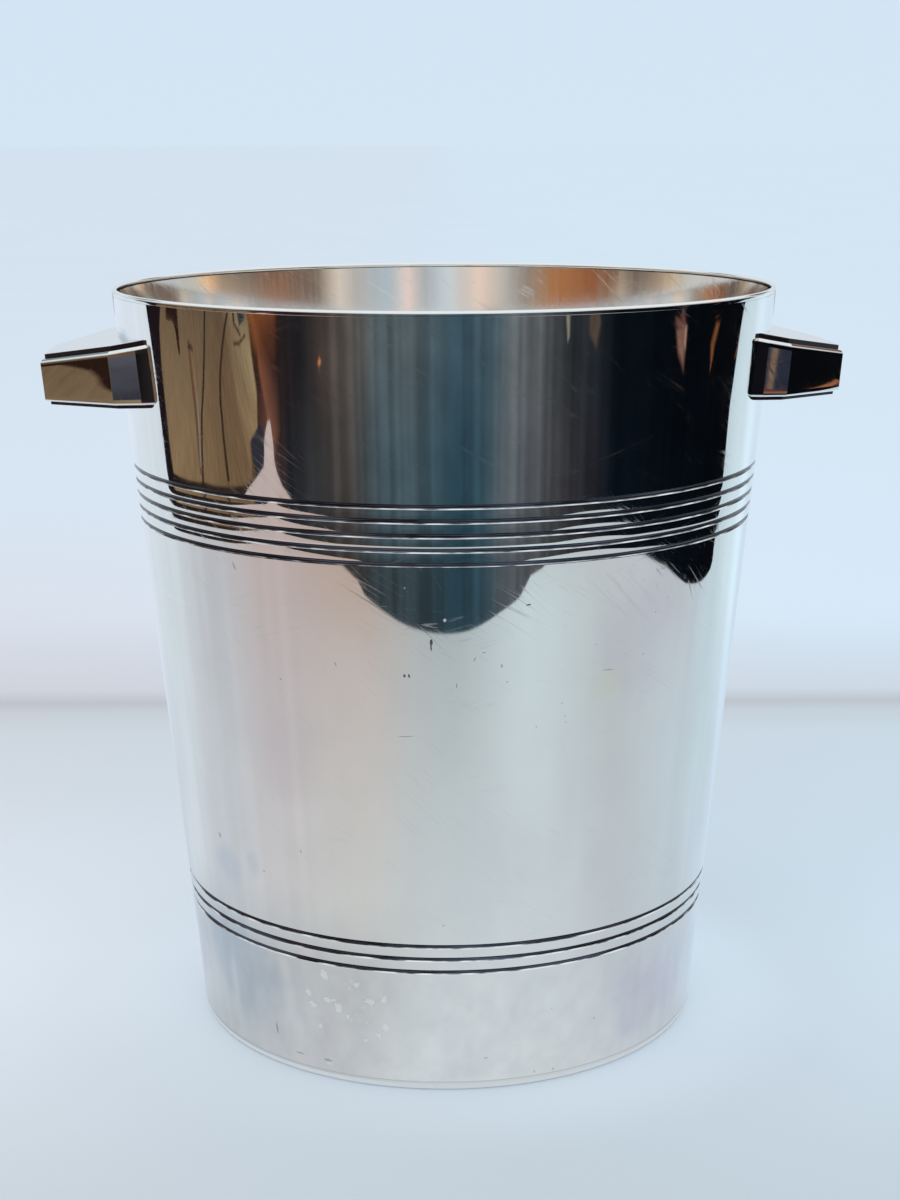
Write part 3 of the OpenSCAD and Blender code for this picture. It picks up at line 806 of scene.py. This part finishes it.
            # Colour in the turned lines: partly the metal's own dark patina, partly painted reflection. Its tone is set
            # by the place round the bucket as the viewer faces it, near black to the left and right and blue-grey in
            # the middle, and the cover on each line's lower bank is painted shade over part of its highlight, heavier
            # or lighter by the same place.
            px = n.add("ShaderNodeSeparateXYZ", inputs={0: place})
            blotch = n.noise(n.mapping(place, scale=(0.08, 0.9, 1.0)), 1.0, 3.0, 0.6)
            drift = n.noise(n.mapping(place, loc=(4.0, 0, 0), scale=(0.025, 0.4, 1.0)), 1.0, 1.0)
            side = n.ramp(n.steps(px.outputs[0], -140.0, 140.0, 0.0, 1.0, "LINEAR"),
                          [(0.0, (0.22, 0.22, 0.25, 1)), (0.08, (0.085, 0.078, 0.085, 1)), (0.25, (0.040, 0.032, 0.038, 1)), (0.40, (0.055, 0.052, 0.064, 1)),
                           (0.52, (0.080, 0.094, 0.125, 1)), (0.66, (0.060, 0.068, 0.094, 1)), (0.78, (0.024, 0.026, 0.040, 1)), (0.92, (0.060, 0.068, 0.094, 1)),
                           (1.0, (0.22, 0.25, 0.29, 1))])
            tarnish = n.mix(n.math("MULTIPLY", n.steps(blotch, 0.44, 0.62), 0.80), side, (0.014, 0.011, 0.015, 1.0))
            tarnish = n.mix(n.math("MULTIPLY", n.steps(drift, 0.52, 0.66), 0.35), tarnish, (0.230, 0.260, 0.320, 1.0))
            tarnish = n.mix(n.math("MULTIPLY", n.steps(blotch, 0.38, 0.30), 0.45), tarnish, (0.170, 0.065, 0.045, 1.0))
            glint = n.noise(n.mapping(place, loc=(2.0, 7.0, 0), scale=(0.11, 0.26, 1.0)), 1.0, 2.0, 0.6)
            painted_lip_shade = n.ramp(n.steps(px.outputs[0], -110.0, 110.0, 0.0, 1.0, "LINEAR"),
                          [(0.0, (0.2, 0.2, 0.2, 1)), (0.35, (0.26, 0.26, 0.26, 1)), (0.52, (0.13, 0.13, 0.13, 1)), (0.72, (0.15, 0.15, 0.15, 1)), (1.0, (0.20, 0.20, 0.20, 1))])
            f = n.math("ADD", g, n.math("ADD", n.math("MULTIPLY", n.math("SUBTRACT", glint, 0.5), 1.1), n.math("SUBTRACT", painted_lip_shade, 0.10)))
            f = n.math("MULTIPLY", n.steps(f, 0.30, 0.62), n.steps(g, 0.02, 0.30))
            col = n.mix(f, col, tarnish)
            rgh = n.fmix(f, rgh, 0.22)
        else:
            col = n.mix(n.steps(g, 0.15, 0.75), col, (0.050, 0.036, 0.042, 1.0))
            rgh = n.fmix(n.steps(g, 0.15, 0.75), rgh, 0.40)
    h = n.math("ADD", n.math("MULTIPLY", n.math("SUBTRACT", level, 0.5), 0.10),
               n.math("MULTIPLY", n.math("SUBTRACT", slant, 0.5), 0.06))
    h = n.math("SUBTRACT", h, n.math("MULTIPLY", scr, 0.10 * wear))
    h = n.math("SUBTRACT", h, n.math("MULTIPLY", pit, 6.0 * wear))
    bump = n.add("ShaderNodeBump")
    bump.inputs["Strength"].default_value = 0.35
    bump.inputs["Distance"].default_value = 0.0000006
    n.put(bump.inputs["Height"], h)
    b = n.add("ShaderNodeBsdfPrincipled", inputs={"Base Color": col, "Roughness": rgh, "Normal": bump, "Metallic": metal})
    n.add("ShaderNodeOutputMaterial", inputs={0: b})
    return n.block


PLATE = silver("silver_plate", wall=True)
RIM = silver("silver_rim", rough=0.04)
FOOT = silver("silver_foot", base=(0.860, 0.855, 0.835), rough=0.07, wear=1.2)
BASE = silver("silver_base", base=(0.88, 0.87, 0.84), rough=0.12, wear=1.4)
HANDLE = silver("silver_handle", rough=0.012, wear=0.45)
COVER = silver("silver_cover", base=(0.92, 0.91, 0.89), rough=0.05, wear=1.1)


# ---------------------------------------------------------------- pieces ----
def ride(ob, node, material):
    ob.data.materials.append(material)
    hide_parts(node)
    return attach(ob, "root")


def revolve(name, profile, segments, groove=None, wobble=None, closed=True):
    """A ring: the profile is a list of (r, z) in mm, anticlockwise seen from the front."""
    prof = np.asarray(profile, float)
    m = len(prof)
    a = np.arange(segments) * 2 * math.pi / segments
    verts = np.zeros((segments, m, 3))
    r = np.tile(prof[:, 0], (segments, 1))
    if wobble is not None:
        r = r + wobble(a[:, None], prof[None, :, 1]) * np.asarray([1.0] * m)[None, :]
    verts[:, :, 0] = r * np.cos(a)[:, None]
    verts[:, :, 1] = r * np.sin(a)[:, None]
    verts[:, :, 2] = prof[None, :, 1]
    faces = []
    last = m if closed else m - 1
    for i in range(segments):
        j = (i + 1) % segments
        for k in range(last):
            l = (k + 1) % m
            faces.append((i * m + k, j * m + k, j * m + l, i * m + l))
    ob = mesh_object(name, verts.reshape(-1, 3) * MM, faces)
    # a map in hundreds of mm: along the girth, and along the section
    run = np.concatenate([[0], np.cumsum(np.linalg.norm(np.diff(np.vstack([prof, prof[:1]]), axis=0), axis=1))])
    uvl = ob.data.uv_layers.new(name="surface")
    uv = np.zeros((len(ob.data.loops), 2), np.float32)
    li = 0
    rm = float(prof[:, 0].mean())
    for i in range(segments):
        for k in range(last):
            u0, u1 = a[i] * rm / 100, (a[i] + 2 * math.pi / segments) * rm / 100
            v0, v1 = run[k] / 100, run[k + 1] / 100
            uv[li:li + 4] = ((u0, v0), (u1, v0), (u1, v1), (u0, v1))
            li += 4
    uvl.data.foreach_set("uv", uv.ravel())
    gv = np.zeros(m) if groove is None else np.asarray(groove, float)
    point_attribute(ob, "groove", np.tile(gv, (segments, 1)).ravel())
    return ob


# The wall: a tapered sheet with two bands of turned lines.
LINE_W, LINE_D, PITCH, CROWN = 1.4, 0.45, 3.88, 0.02
BANDS = [(40.9, 3), (162.0, 5)]


def wall_section():
    centres = [zm + (i - (n - 1) / 2) * PITCH for zm, n in BANDS for i in range(n)]
    zs = set()
    z = WALL_Z0
    while z < WALL_Z1:
        zs.add(round(z, 4))
        z += 2.0
    zs.add(WALL_Z1)
    for c in centres:
        for k in range(-9, 10):
            zs.add(round(c + k * 0.09, 4))
        for k in range(-3, 4):
            zs.add(round(c + PITCH / 2 + k * 0.24, 4))
            zs.add(round(c - PITCH / 2 + k * 0.24, 4))
    zs = sorted(q for q in zs if WALL_Z0 <= q <= WALL_Z1)
    keep = [zs[0]]
    for q in zs[1:]:
        if q - keep[-1] > 0.05:
            keep.append(q)
    zs = np.array(keep)
    depth = np.zeros(len(zs))
    dark = np.zeros(len(zs))
    for c in centres:
        u = (zs - c) / (LINE_W / 2)
        # a round-bottomed line with slightly softened lips
        d = np.where(np.abs(u) < 1.0, LINE_D * np.power(np.clip(1 - u * u, 0, 1), 0.75), 0.0)
        depth = np.maximum(depth, d)
        full = np.clip((0.80 - np.abs(u - 0.10)) / 0.22, 0, 1)
        # the lower bank gets a lighter cover than the middle: painted shade over part of its highlight, so it catches
        # the light only in places
        lip = np.where((u > -1.02) & (u < -0.4), 0.40, 0.0)     # the lower bank catches the light
        dark = np.maximum(dark, np.maximum(full, lip))
    crown = np.zeros(len(zs))
    for zm, n in BANDS:
        for i in range(n - 1):
            c = zm + (i - (n - 2) / 2) * PITCH
            u = (zs - c) / ((PITCH - LINE_W) / 2)
            k = np.abs(u) <= 1.0
            crown[k] = CROWN * u[k] ** 2 + (0.012 * (zs[k] - c) + 0.015 if zm > 100 else 0.0)
    r = cone_r(zs) - depth - crown
    return zs, r, dark


wz, wr, wd = wall_section()
inner_z = [WALL_Z1] + list(np.arange(215, 6, -4.0)) + [WALL_Z0]
inner = [(float(cone_r(z)) - SKIN, z) for z in inner_z]
profile = [(float(r), float(z)) for z, r in zip(wz, wr)] + inner
dark = list(wd) + [0.0] * len(inner)


def waviness(a, z):
    """The slight unevenness of a hand-finished wall, in mm."""
    w = 0.030 * np.sin(3 * a + 0.031 * z + 0.4) * np.sin(0.045 * z + 1.0)
    w += 0.016 * np.sin(7 * a - 0.052 * z + 2.1) * np.sin(0.031 * z + 0.3 + 2 * a)
    w += 0.008 * np.sin(13 * a + 0.11 * z + 0.9) * np.sin(0.083 * z + 1.7)
    fade = np.clip((z - 3) / 20, 0, 1) * np.clip((217 - z) / 20, 0, 1)
    return (w - 0.03) * fade


wall = revolve("bucket_wall", profile, 512, groove=dark, wobble=waviness)


def soft_noise(x, y, cell_x, cell_y, seed, around=2 * math.pi * 86.0):
    """Smooth random values from 0 to 1, one per cell, that close round the bucket."""
    nx = max(3, int(round(around / cell_x)))
    grid = np.random.RandomState(seed).rand(nx, 96)
    u, v = (x / around) % 1.0 * nx, np.abs(y) / cell_y
    i, j = np.floor(u).astype(int), np.floor(v).astype(int)
    fu, fv = u - i, v - j
    fu, fv = fu * fu * (3 - 2 * fu), fv * fv * (3 - 2 * fv)
    i0, i1, j0, j1 = i % nx, (i + 1) % nx, j % 96, (j + 1) % 96
    return ((grid[i0, j0] * (1 - fu) + grid[i1, j0] * fu) * (1 - fv)
            + (grid[i0, j1] * (1 - fu) + grid[i1, j1] * fu) * fv)


# Broad patches of tarnish and pale drips, and painted shade: the two rows at about -72 degrees,
# 200 to 206 mm high, darken the wall where the left handle's top plate meets it.
# Each row is (degrees, height, half width, half height, tint).
STAINS_AND_SHADE = [(-50.2, 27.3, 23, 16, (0.84, 0.885, 0.94)), (-49.9, 59.2, 7, 6, (0.88, 0.915, 0.965)), (-41.9, 62.3, 3, 5, (0.88, 0.915, 0.965)),
          (-30.3, 96.7, 11, 16, (0.970, 0.955, 0.965)), (29.8, 117.8, 7, 6, (1.0, 0.99, 0.94)), (51.9, 19.6, 26, 15, (0.93, 0.905, 0.955)),
          (-71.5, 206.2, 9, 4, (0.50, 0.53, 0.63)), (-73.0, 35.0, 10, 20, (0.86, 0.89, 0.95)), (-29.1, 61.3, 11, 18, (0.975, 0.965, 0.965)),
          (36.7, 129.3, 13, 17, (0.965, 0.945, 0.985)), (-35.8, 33.1, 2.8, 4.5, (1.10, 1.09, 1.08)), (-35.1, 22.3, 2.8, 7, (1.10, 1.09, 1.08)),
          (-33.2, 15.3, 2.8, 4.5, (1.10, 1.09, 1.08)), (-52.7, 21.4, 2.2, 9, (1.12, 1.10, 1.08)), (-72.5, 200.0, 8, 14, (0.87, 0.87, 0.88)),
          (150.0, 60.0, 30, 22, (0.88, 0.90, 0.94)), (-140.0, 130.0, 26, 30, (0.93, 0.915, 0.90)), (110.0, 90.0, 20, 26, (0.94, 0.93, 0.90)),
          (180.0, 110.0, 34, 18, (0.95, 0.94, 0.955))]


def stain_and_shade_wall(ob):
    co = np.zeros(len(ob.data.vertices) * 3, np.float32)
    ob.data.vertices.foreach_get("co", co)
    co = co.reshape(-1, 3).astype(float) / MM
    c, s = math.cos(ALPHA), math.sin(ALPHA)
    x0, y0 = c * co[:, 0] - s * co[:, 1], s * co[:, 0] + c * co[:, 1]
    deg = np.degrees(np.arctan2(x0, -y0))
    arc_x, z = np.radians(deg) * 86.0, co[:, 2]
    place = np.stack([arc_x, z, np.zeros(len(z))], axis=1)
    point_attribute(ob, "place", place, "FLOAT_VECTOR")
    col = np.ones((len(z), 3))
    n1, n2 = soft_noise(arc_x, z, 9, 9, 11), soft_noise(arc_x, z, 3.4, 4, 12)
    # this also paints the shade beside the left handle, from the table's two rows at about -72 degrees
    for d, zz, hw, hz, tint in STAINS_AND_SHADE:
        dx = ((arc_x - math.radians(d) * 86.0 + math.pi * 86.0) % (2 * math.pi * 86.0)) - math.pi * 86.0
        q = np.sqrt((dx / hw) ** 2 + ((z - zz) / hz) ** 2) + 0.45 * (n1 - 0.5) + 0.25 * (n2 - 0.5)
        w = np.clip((1.15 - q) / 0.75, 0, 1)
        w = (w * w * (3 - 2 * w))[:, None]
        col *= 1 + (np.asarray(tint) - 1) * w
    # upright streaks where polish was wiped off, stronger at the left
    st = soft_noise(arc_x, z, 2.4, 70, 21) * 0.6 + soft_noise(arc_x, z, 5.5, 110, 22) * 0.4 - 0.5
    k = np.clip((deg + 76) / 10, 0, 1) * np.clip((-20 - deg) / 10, 0, 1) + 0.5 * np.clip((deg - 40) / 8, 0, 1) * np.clip((68 - deg) / 8, 0, 1)
    col *= 1 + (0.09 * st * (0.25 + k))[:, None] * np.array([1.0, 0.96, 0.9])
    cl = soft_noise(arc_x, z, 26, 30, 31) * 0.6 + soft_noise(arc_x, z, 11, 13, 32) * 0.4 - 0.5
    col *= 1 + (0.035 * cl)[:, None] * np.array([1.0, 1.0, 0.8])
    low = soft_noise(arc_x, z, 5.5, 5.5, 41) * 0.55 + soft_noise(arc_x, z, 2.3, 2.3, 42) * 0.45 - 0.5
    col *= 1 + (low * 0.150 * np.clip((44 - z) / 12, 0, 1) * np.clip((70 - np.abs(deg + 8)) / 40, 0.25, 1))[:, None] * np.array([1.0, 1.0, 0.85])
    mid = soft_noise(arc_x, z, 9, 13, 43) * 0.6 + soft_noise(arc_x, z, 4, 5, 44) * 0.4 - 0.5
    col *= 1 + (mid * 0.045)[:, None] * np.array([1.0, 0.9, 0.7])
    col = np.clip(col, 0, 1.065)
    point_attribute(ob, "stain_and_shade", np.hstack([col, np.ones((len(z), 1))]), "FLOAT_COLOR")


stain_and_shade_wall(wall)
point_attribute(wall, "inside", np.tile([0.0] * len(wz) + [1.0] * len(inner), (512, 1)).ravel())
ride(wall, "body_wall", PLATE)

# The rim wire: flat against the wall's edge, rounded over the top.
def arc(cx, cz, r, a0, a1, n):
    return [(cx + r * math.cos(math.radians(a0 + (a1 - a0) * k / n)), cz + r * math.sin(math.radians(a0 + (a1 - a0) * k / n))) for k in range(n + 1)]


RIM_W = 1.5
zc = RIM_Z1 - RIM_W / 2
ro = float(cone_r(WALL_Z1))
rc = min(rim_hi.x, rim_hi.y) / MM - RIM_W / 2 - 0.015
rim_prof = [(ro - RIM_W + 0.06, WALL_Z1), (ro - 0.10, WALL_Z1), (ro - 0.03, WALL_Z1 + 0.04), (ro - 0.004, WALL_Z1 + 0.12)] \
    + arc(rc, zc, RIM_W / 2, 0, 180, 24) + [(ro - RIM_W, WALL_Z1 + 0.10)]
rim = revolve("rim_wire_bright", rim_prof, 512, groove=[0.15, 0.40, 0.25, 0.05] + [0] * 25 + [0.05])
ride(rim, "rim_wire", RIM)

# The foot ring, flat where it stands and rounded outside.
fr = 1.6
foot_prof = [(BASE_R - 3.2, 0.6), (BASE_R - 3.02, 0.18), (BASE_R - 2.6, 0.0)] + [(BASE_R - fr - 0.3, 0.0)] \
    + arc(BASE_R - fr, fr, fr, -88, -4, 12) + [(float(cone_r(2.3)), 2.3), (float(cone_r(FOOT_H)) - 0.03, FOOT_H - 0.15), (float(cone_r(FOOT_H)) - 0.14, FOOT_H),
                                              (BASE_R - 3.2, FOOT_H)]
foot = revolve("foot_ring_bright", foot_prof, 512, groove=[0.1, 0.1, 0.2, 0.2] + [0] * 13 + [0, 0.35, 0.5, 0])
ride(foot, "foot_ring", FOOT)

# The bottom: a disc let into the wall, slightly dished, with a soft solder fillet.
zb0, zb1 = disc_lo.z / MM, disc_hi.z / MM
rb0, rb1 = float(cone_r(zb0)) - SKIN, float(cone_r(zb1)) - SKIN
disc_prof = [(0.02, zb0 + 0.10), (20, zb0 + 0.08), (40, zb0 + 0.05), (60, zb0 + 0.02), (rb0 - 4, zb0), (rb0, zb0), (rb1, zb1)] \
    + [(rb1 - 0.3, zb1), (rb1 - 1.0, zb1 - 0.02)] + [(r, zb1 - 0.05 - 0.05 * (1 - r / rb1)) for r in (66, 60, 50, 40, 30, 20, 10)] + [(0.02, zb1 - 0.10)]
disc = revolve("base_disc_dished", disc_prof, 192, groove=[0] * 5 + [0.3, 0.5, 0.45, 0.15] + [0] * 8)
ride(disc, "base_disc", BASE)

# ------------------------------------------------------------- handles ------
HANDLE_Z = 198.0
WALL_REF = float(SHOULDER_R + SLOPE_UP * (HANDLE_Z - SHOULDER_Z))
BAND_UP, BAND_DOWN, TAPER, CH, CH_LOW, BAND_T = 6.1, 7.5, 0.135, 0.8, 0.5, 2.4
STEP, TOP_T, BOT_T = 1.5, 1.35, 1.1
ROOT_RUN, BACK_X, ROOT_X = 0.45, -24.0, -7.9
ROOT_W, FLANK_W, TIP_W = 43.7, 38.2, 11.7
BACK_W = ROOT_W + ROOT_RUN * (ROOT_X - BACK_X)
PLAN = [(BACK_X, -BACK_W), (ROOT_X, -ROOT_W), (0.2, -FLANK_W), (22.1, -TIP_W),
        (22.1, TIP_W), (0.2, FLANK_W), (ROOT_X, ROOT_W), (BACK_X, BACK_W)]
CL, SL = math.cos(LEAN), math.sin(LEAN)


def placed(s, w, t, side):
    x = WALL_REF + s * CL + t * SL
    z = HANDLE_Z - s * SL + t * CL
    return (side * x, w, z)


def inside_wall(s, w, t, sink):
    x, y, z = placed(s, w, t, 1)
    return math.hypot(x, y) < float(cone_r(z)) - sink


def cross(p, d, q, e):
    k = ((q[0] - p[0]) * e[1] - (q[1] - p[1]) * e[0]) / (d[0] * e[1] - d[1] * e[0])
    return (p[0] + k * d[0], p[1] + k * d[1])


def plan_inset(d):
    """The outline drawn in by d: six corners and the two ends running back."""
    n = len(PLAN)
    lines = []
    for i in range(n - 1):
        a, b = Vector(PLAN[i]), Vector(PLAN[i + 1])
        u = (b - a).normalized()
        nrm = Vector((-u.y, u.x))            # left of the way round: towards the middle
        lines.append((a + nrm * d, u))
    pts = [tuple(lines[0][0])]
    for (p, u), (q, v) in zip(lines, lines[1:]):
        pts.append(cross(p, u, q, v))
    last_p, last_u = lines[-1]
    pts.append(tuple(last_p + last_u * (Vector(PLAN[-1]) - Vector(PLAN[-2])).length))
    return pts


def corner_rail(d, t_of_s, radius, steps=5, sink=0.35, per=(2, 1, 6, 3, 6, 1, 2)):
    """The outline drawn in by d, its corners rounded, cut where it enters the wall. Each face
    always has the same number of points, so rails match."""
    pts = [Vector(p) for p in plan_inset(d)]
    arcs = []
    for i in range(1, len(pts) - 1):
        a, b, c = pts[i - 1], pts[i], pts[i + 1]
        u, v = (a - b).normalized(), (c - b).normalized()
        ang = u.angle(v)
        back = radius / math.tan(ang / 2)
        centre = b + (u + v).normalized() * (radius / math.sin(ang / 2))
        p0, p1 = b + u * back, b + v * back
        a0 = math.atan2(p0.y - centre.y, p0.x - centre.x)
        a1 = math.atan2(p1.y - centre.y, p1.x - centre.x)
        while a1 - a0 > math.pi:
            a1 -= 2 * math.pi
        while a1 - a0 < -math.pi:
            a1 += 2 * math.pi
        arcs.append([Vector((centre.x + radius * math.cos(a0 + (a1 - a0) * k / steps),
                             centre.y + radius * math.sin(a0 + (a1 - a0) * k / steps))) for k in range(steps + 1)])

    def enter(p, q):
        lo, hi = 0.0, 1.0
        for _ in range(40):
            m = (lo + hi) / 2
            w = p.lerp(q, m)
            if inside_wall(w.x, w.y, t_of_s(w.x), sink):
                hi = m
            else:
                lo = m
        return p.lerp(q, hi)
    chain = [[enter(arcs[0][0], pts[0])]] + arcs + [[enter(arcs[-1][-1], pts[-1])]]
    full = []
    for i, part in enumerate(chain):
        if i:
            a, b = full[-1], part[0]
            m = per[i - 1]
            for k in range(1, m + 1):
                full.append(a.lerp(b, k / (m + 1)))
        full.extend(part)
    return [(p.x, p.y, t_of_s(p.x)) for p in full]


def top_edge(d):
    return lambda s: BAND_UP + d - TAPER * s


def sweep_handle(name, side, rails, dark, cap=True):
    """A closed solid whose section is the list of rails, in order round it."""
    n, m = len(rails[0]), len(rails)
    verts = [placed(*rails[k][i], side) for i in range(n) for k in range(m)]
    faces = []
    for i in range(n - 1):
        for k in range(m):
            l = (k + 1) % m
            q = (i * m + k, (i + 1) * m + k, (i + 1) * m + l, i * m + l)
            faces.append(q if side > 0 else q[::-1])
    if cap:
        a = tuple(range(m))
        b = tuple((n - 1) * m + k for k in range(m))
        faces.append(a if side > 0 else a[::-1])
        faces.append(b[::-1] if side > 0 else b)
    ob = mesh_object(name, np.array(verts) * MM, faces)
    uvl = ob.data.uv_layers.new(name="surface")
    along = [0.0]
    for i in range(1, n):
        along.append(along[-1] + math.dist(rails[0][i], rails[0][i - 1]))
    around = [0.0]
    for k in range(1, m + 1):
        around.append(around[-1] + math.dist(rails[k % m][n // 2], rails[k - 1][n // 2]))
    coords = {}
    for poly in ob.data.polygons:
        vs = list(poly.vertices)
        ks = [v % m for v in vs]
        wrap = max(ks) == m - 1 and min(ks) == 0 and len(vs) == 4
        for li, v in zip(poly.loop_indices, vs):
            k = v % m
            kk = m if (wrap and k == 0) else k
            uvl.data[li].uv = (along[v // m] / 100, around[kk] / 100)
    point_attribute(ob, "groove", [dark[k] for i in range(n) for k in range(m)])
    return ob


def finish_normals(ob, angle=30):
    bpy.context.view_layer.objects.active = ob
    mod = ob.modifiers.new("even", "WEIGHTED_NORMAL")
    mod.keep_sharp = True
    mod.weight = 80
    return ob


def band_rails():
    """Round the band's section: up the outer face, over the upper chamfer, down inside, and
    back under, with each edge slightly rounded."""
    e = 0.18
    rails, dark = [], []

    def add(d, t, r, g=0.0):
        rails.append(corner_rail(d, t if callable(t) else (lambda s, v=t: v), r))
        dark.append(g)
    lo = -BAND_DOWN
    add(CH_LOW + 0.15, lo - CH_LOW, 0.30, 0.3)
    add(CH_LOW - 0.02, lo - CH_LOW + 0.03, 0.30)
    add(CH_LOW - 0.12, lo - CH_LOW + 0.10, 0.32)
    add(0.14, lo - 0.16, 0.42)
    add(0.04, lo - 0.06, 0.46)
    add(0.0, lo + e, 0.5)
    add(0.0, lo + 1.2, 0.5)
    add(0.0, lambda s: BAND_UP - 1.2 - TAPER * s, 0.5)
    add(0.0, top_edge(-e), 0.5)
    add(0.07, top_edge(0.12), 0.46)
    add(0.24, top_edge(0.32), 0.42)
    add(CH - 0.28, top_edge(CH - 0.20), 0.32)
    add(CH - 0.10, top_edge(CH - 0.04), 0.30)
    add(CH + 0.15, top_edge(CH), 0.30, 0.1)
    add(STEP - 0.1, top_edge(CH), 0.28, 0.6)
    add(STEP + 0.4, top_edge(CH), 0.26, 0.9)
    add(BAND_T, top_edge(CH), 0.22, 0.9)
    add(BAND_T, lo - CH_LOW, 0.22, 0.9)
    add(STEP + 0.4, lo - CH_LOW, 0.26, 0.9)
    add(STEP - 0.1, lo - CH_LOW, 0.28, 0.6)
    return rails, dark


def flat_fill(verts, loop):
    """Triangles that fill a loop seen from above, with none of zero area."""
    pts = [Vector((verts[i][0], verts[i][1])) for i in loop]
    area = sum(p.x * q.y - q.x * p.y for p, q in zip(pts, pts[1:] + pts[:1]))
    order = list(range(len(loop))) if area > 0 else list(range(len(loop)))[::-1]
    _, _, tris, came_from, _, _ = delaunay_2d_cdt(pts, [], [order], 1, 1e-6)
    out = [tuple(loop[came_from[v][0]] for v in t) for t in tris]
    return out if area > 0 else [t[::-1] for t in out]


def plate_piece(name, side, under, over, step, edge=0.16, radius=0.30):
    """A flat cover plate: a closed slab with its outer edges eased, cut to the wall behind."""
    rails = [corner_rail(step + 0.02, under, radius), corner_rail(step, lambda s: under(s) + (over(s) - under(s)) * 0.12, radius),
             corner_rail(step, lambda s: over(s) - math.copysign(edge, over(s) - under(s)), radius),
             corner_rail(step + edge * 0.29, lambda s: over(s) - math.copysign(edge * 0.29, over(s) - under(s)), radius),
             corner_rail(step + edge, over, radius),
             corner_rail(step + edge + 0.5, over, radius)]
    # the plate's side faces, from its joint with the band up to the eased top edge, are near black: the joint's own
    # dark, and painted shade over the rest of the side
    dark = [1.0, 1.0, 0.95, 0.45, 0.10, 0.0]
    n, m = len(rails[0]), len(rails)
    verts = [placed(*rails[k][i], side) for i in range(n) for k in range(m)]
    dk = [dark[k] for i in range(n) for k in range(m)]

    def back_row(t_of_s, a, b, count=28):
        """Points along the wall between the two ends of a rail."""
        row = []
        for k in range(1, count):
            w = a[1] + (b[1] - a[1]) * k / count
            lo_s, hi_s = -40.0, 5.0
            for _ in range(40):
                s = (lo_s + hi_s) / 2
                if inside_wall(s, w, t_of_s(s), 0.35):
                    lo_s = s
                else:
                    hi_s = s
            row.append((hi_s, w, t_of_s(hi_s)))
        return row
    faces = []
    for i in range(n - 1):
        for k in range(m - 1):
            faces.append((i * m + k, (i + 1) * m + k, (i + 1) * m + k + 1, i * m + k + 1))
    # back edge, in the wall
    rows = []
    for k in (0, m - 1):
        t = under if k == 0 else over
        row = back_row(t, rails[k][-1], rails[k][0])
        start = len(verts)
        verts += [placed(*p, side) for p in row]
        dk += [0.5 if k == 0 else 0.0] * len(row)
        rows.append([(n - 1) * m + k] + list(range(start, start + len(row))) + [k])
    lowr, topr = rows
    for a, b, c, d in zip(lowr, lowr[1:], topr[1:], topr):
        faces.append((a, b, c, d))
    # close the two ends of the eased edge
    faces.append(tuple([(n - 1) * m + k for k in range(m)][::-1]))
    faces.append(tuple([k for k in range(m)]))
    faces += flat_fill(verts, [i * m + m - 1 for i in range(n)] + topr[1:-1])
    faces += flat_fill(verts, ([i * m for i in range(n)] + lowr[1:-1])[::-1])
    up_is_out = over(0.0) > under(0.0)
    flip = (side > 0) != up_is_out
    faces = [f_[::-1] if flip else f_ for f_ in faces]
    ob = mesh_object(name, np.array(verts) * MM, faces)
    uvl = ob.data.uv_layers.new(name="surface")
    co = [v.co.copy() for v in ob.data.vertices]
    for poly in ob.data.polygons:
        for li, v in zip(poly.loop_indices, poly.vertices):
            uvl.data[li].uv = (co[v].y / MM / 100, (co[v].x * side / MM + co[v].z / MM) / 100)
    point_attribute(ob, "groove", dk)
    return ob


for side, tag in ((1, "right"), (-1, "left")):
    rails, dark = band_rails()
    band = sweep_handle(f"{tag}_handle_band_folded", side, rails, dark)
    finish_normals(band)
    ride(band, f"{tag}_handle_band", HANDLE)
    top = plate_piece(f"{tag}_handle_top_step", side, top_edge(CH), top_edge(CH + TOP_T / math.cos(math.atan(TAPER))), STEP)
    finish_normals(top)
    ride(top, f"{tag}_handle_top_plate", COVER)
    bot = plate_piece(f"{tag}_handle_bottom_step", side, (lambda s: -BAND_DOWN - CH_LOW), (lambda s: -BAND_DOWN - CH_LOW - BOT_T), STEP)
    finish_normals(bot)
    ride(bot, f"{tag}_handle_bottom_plate", COVER)
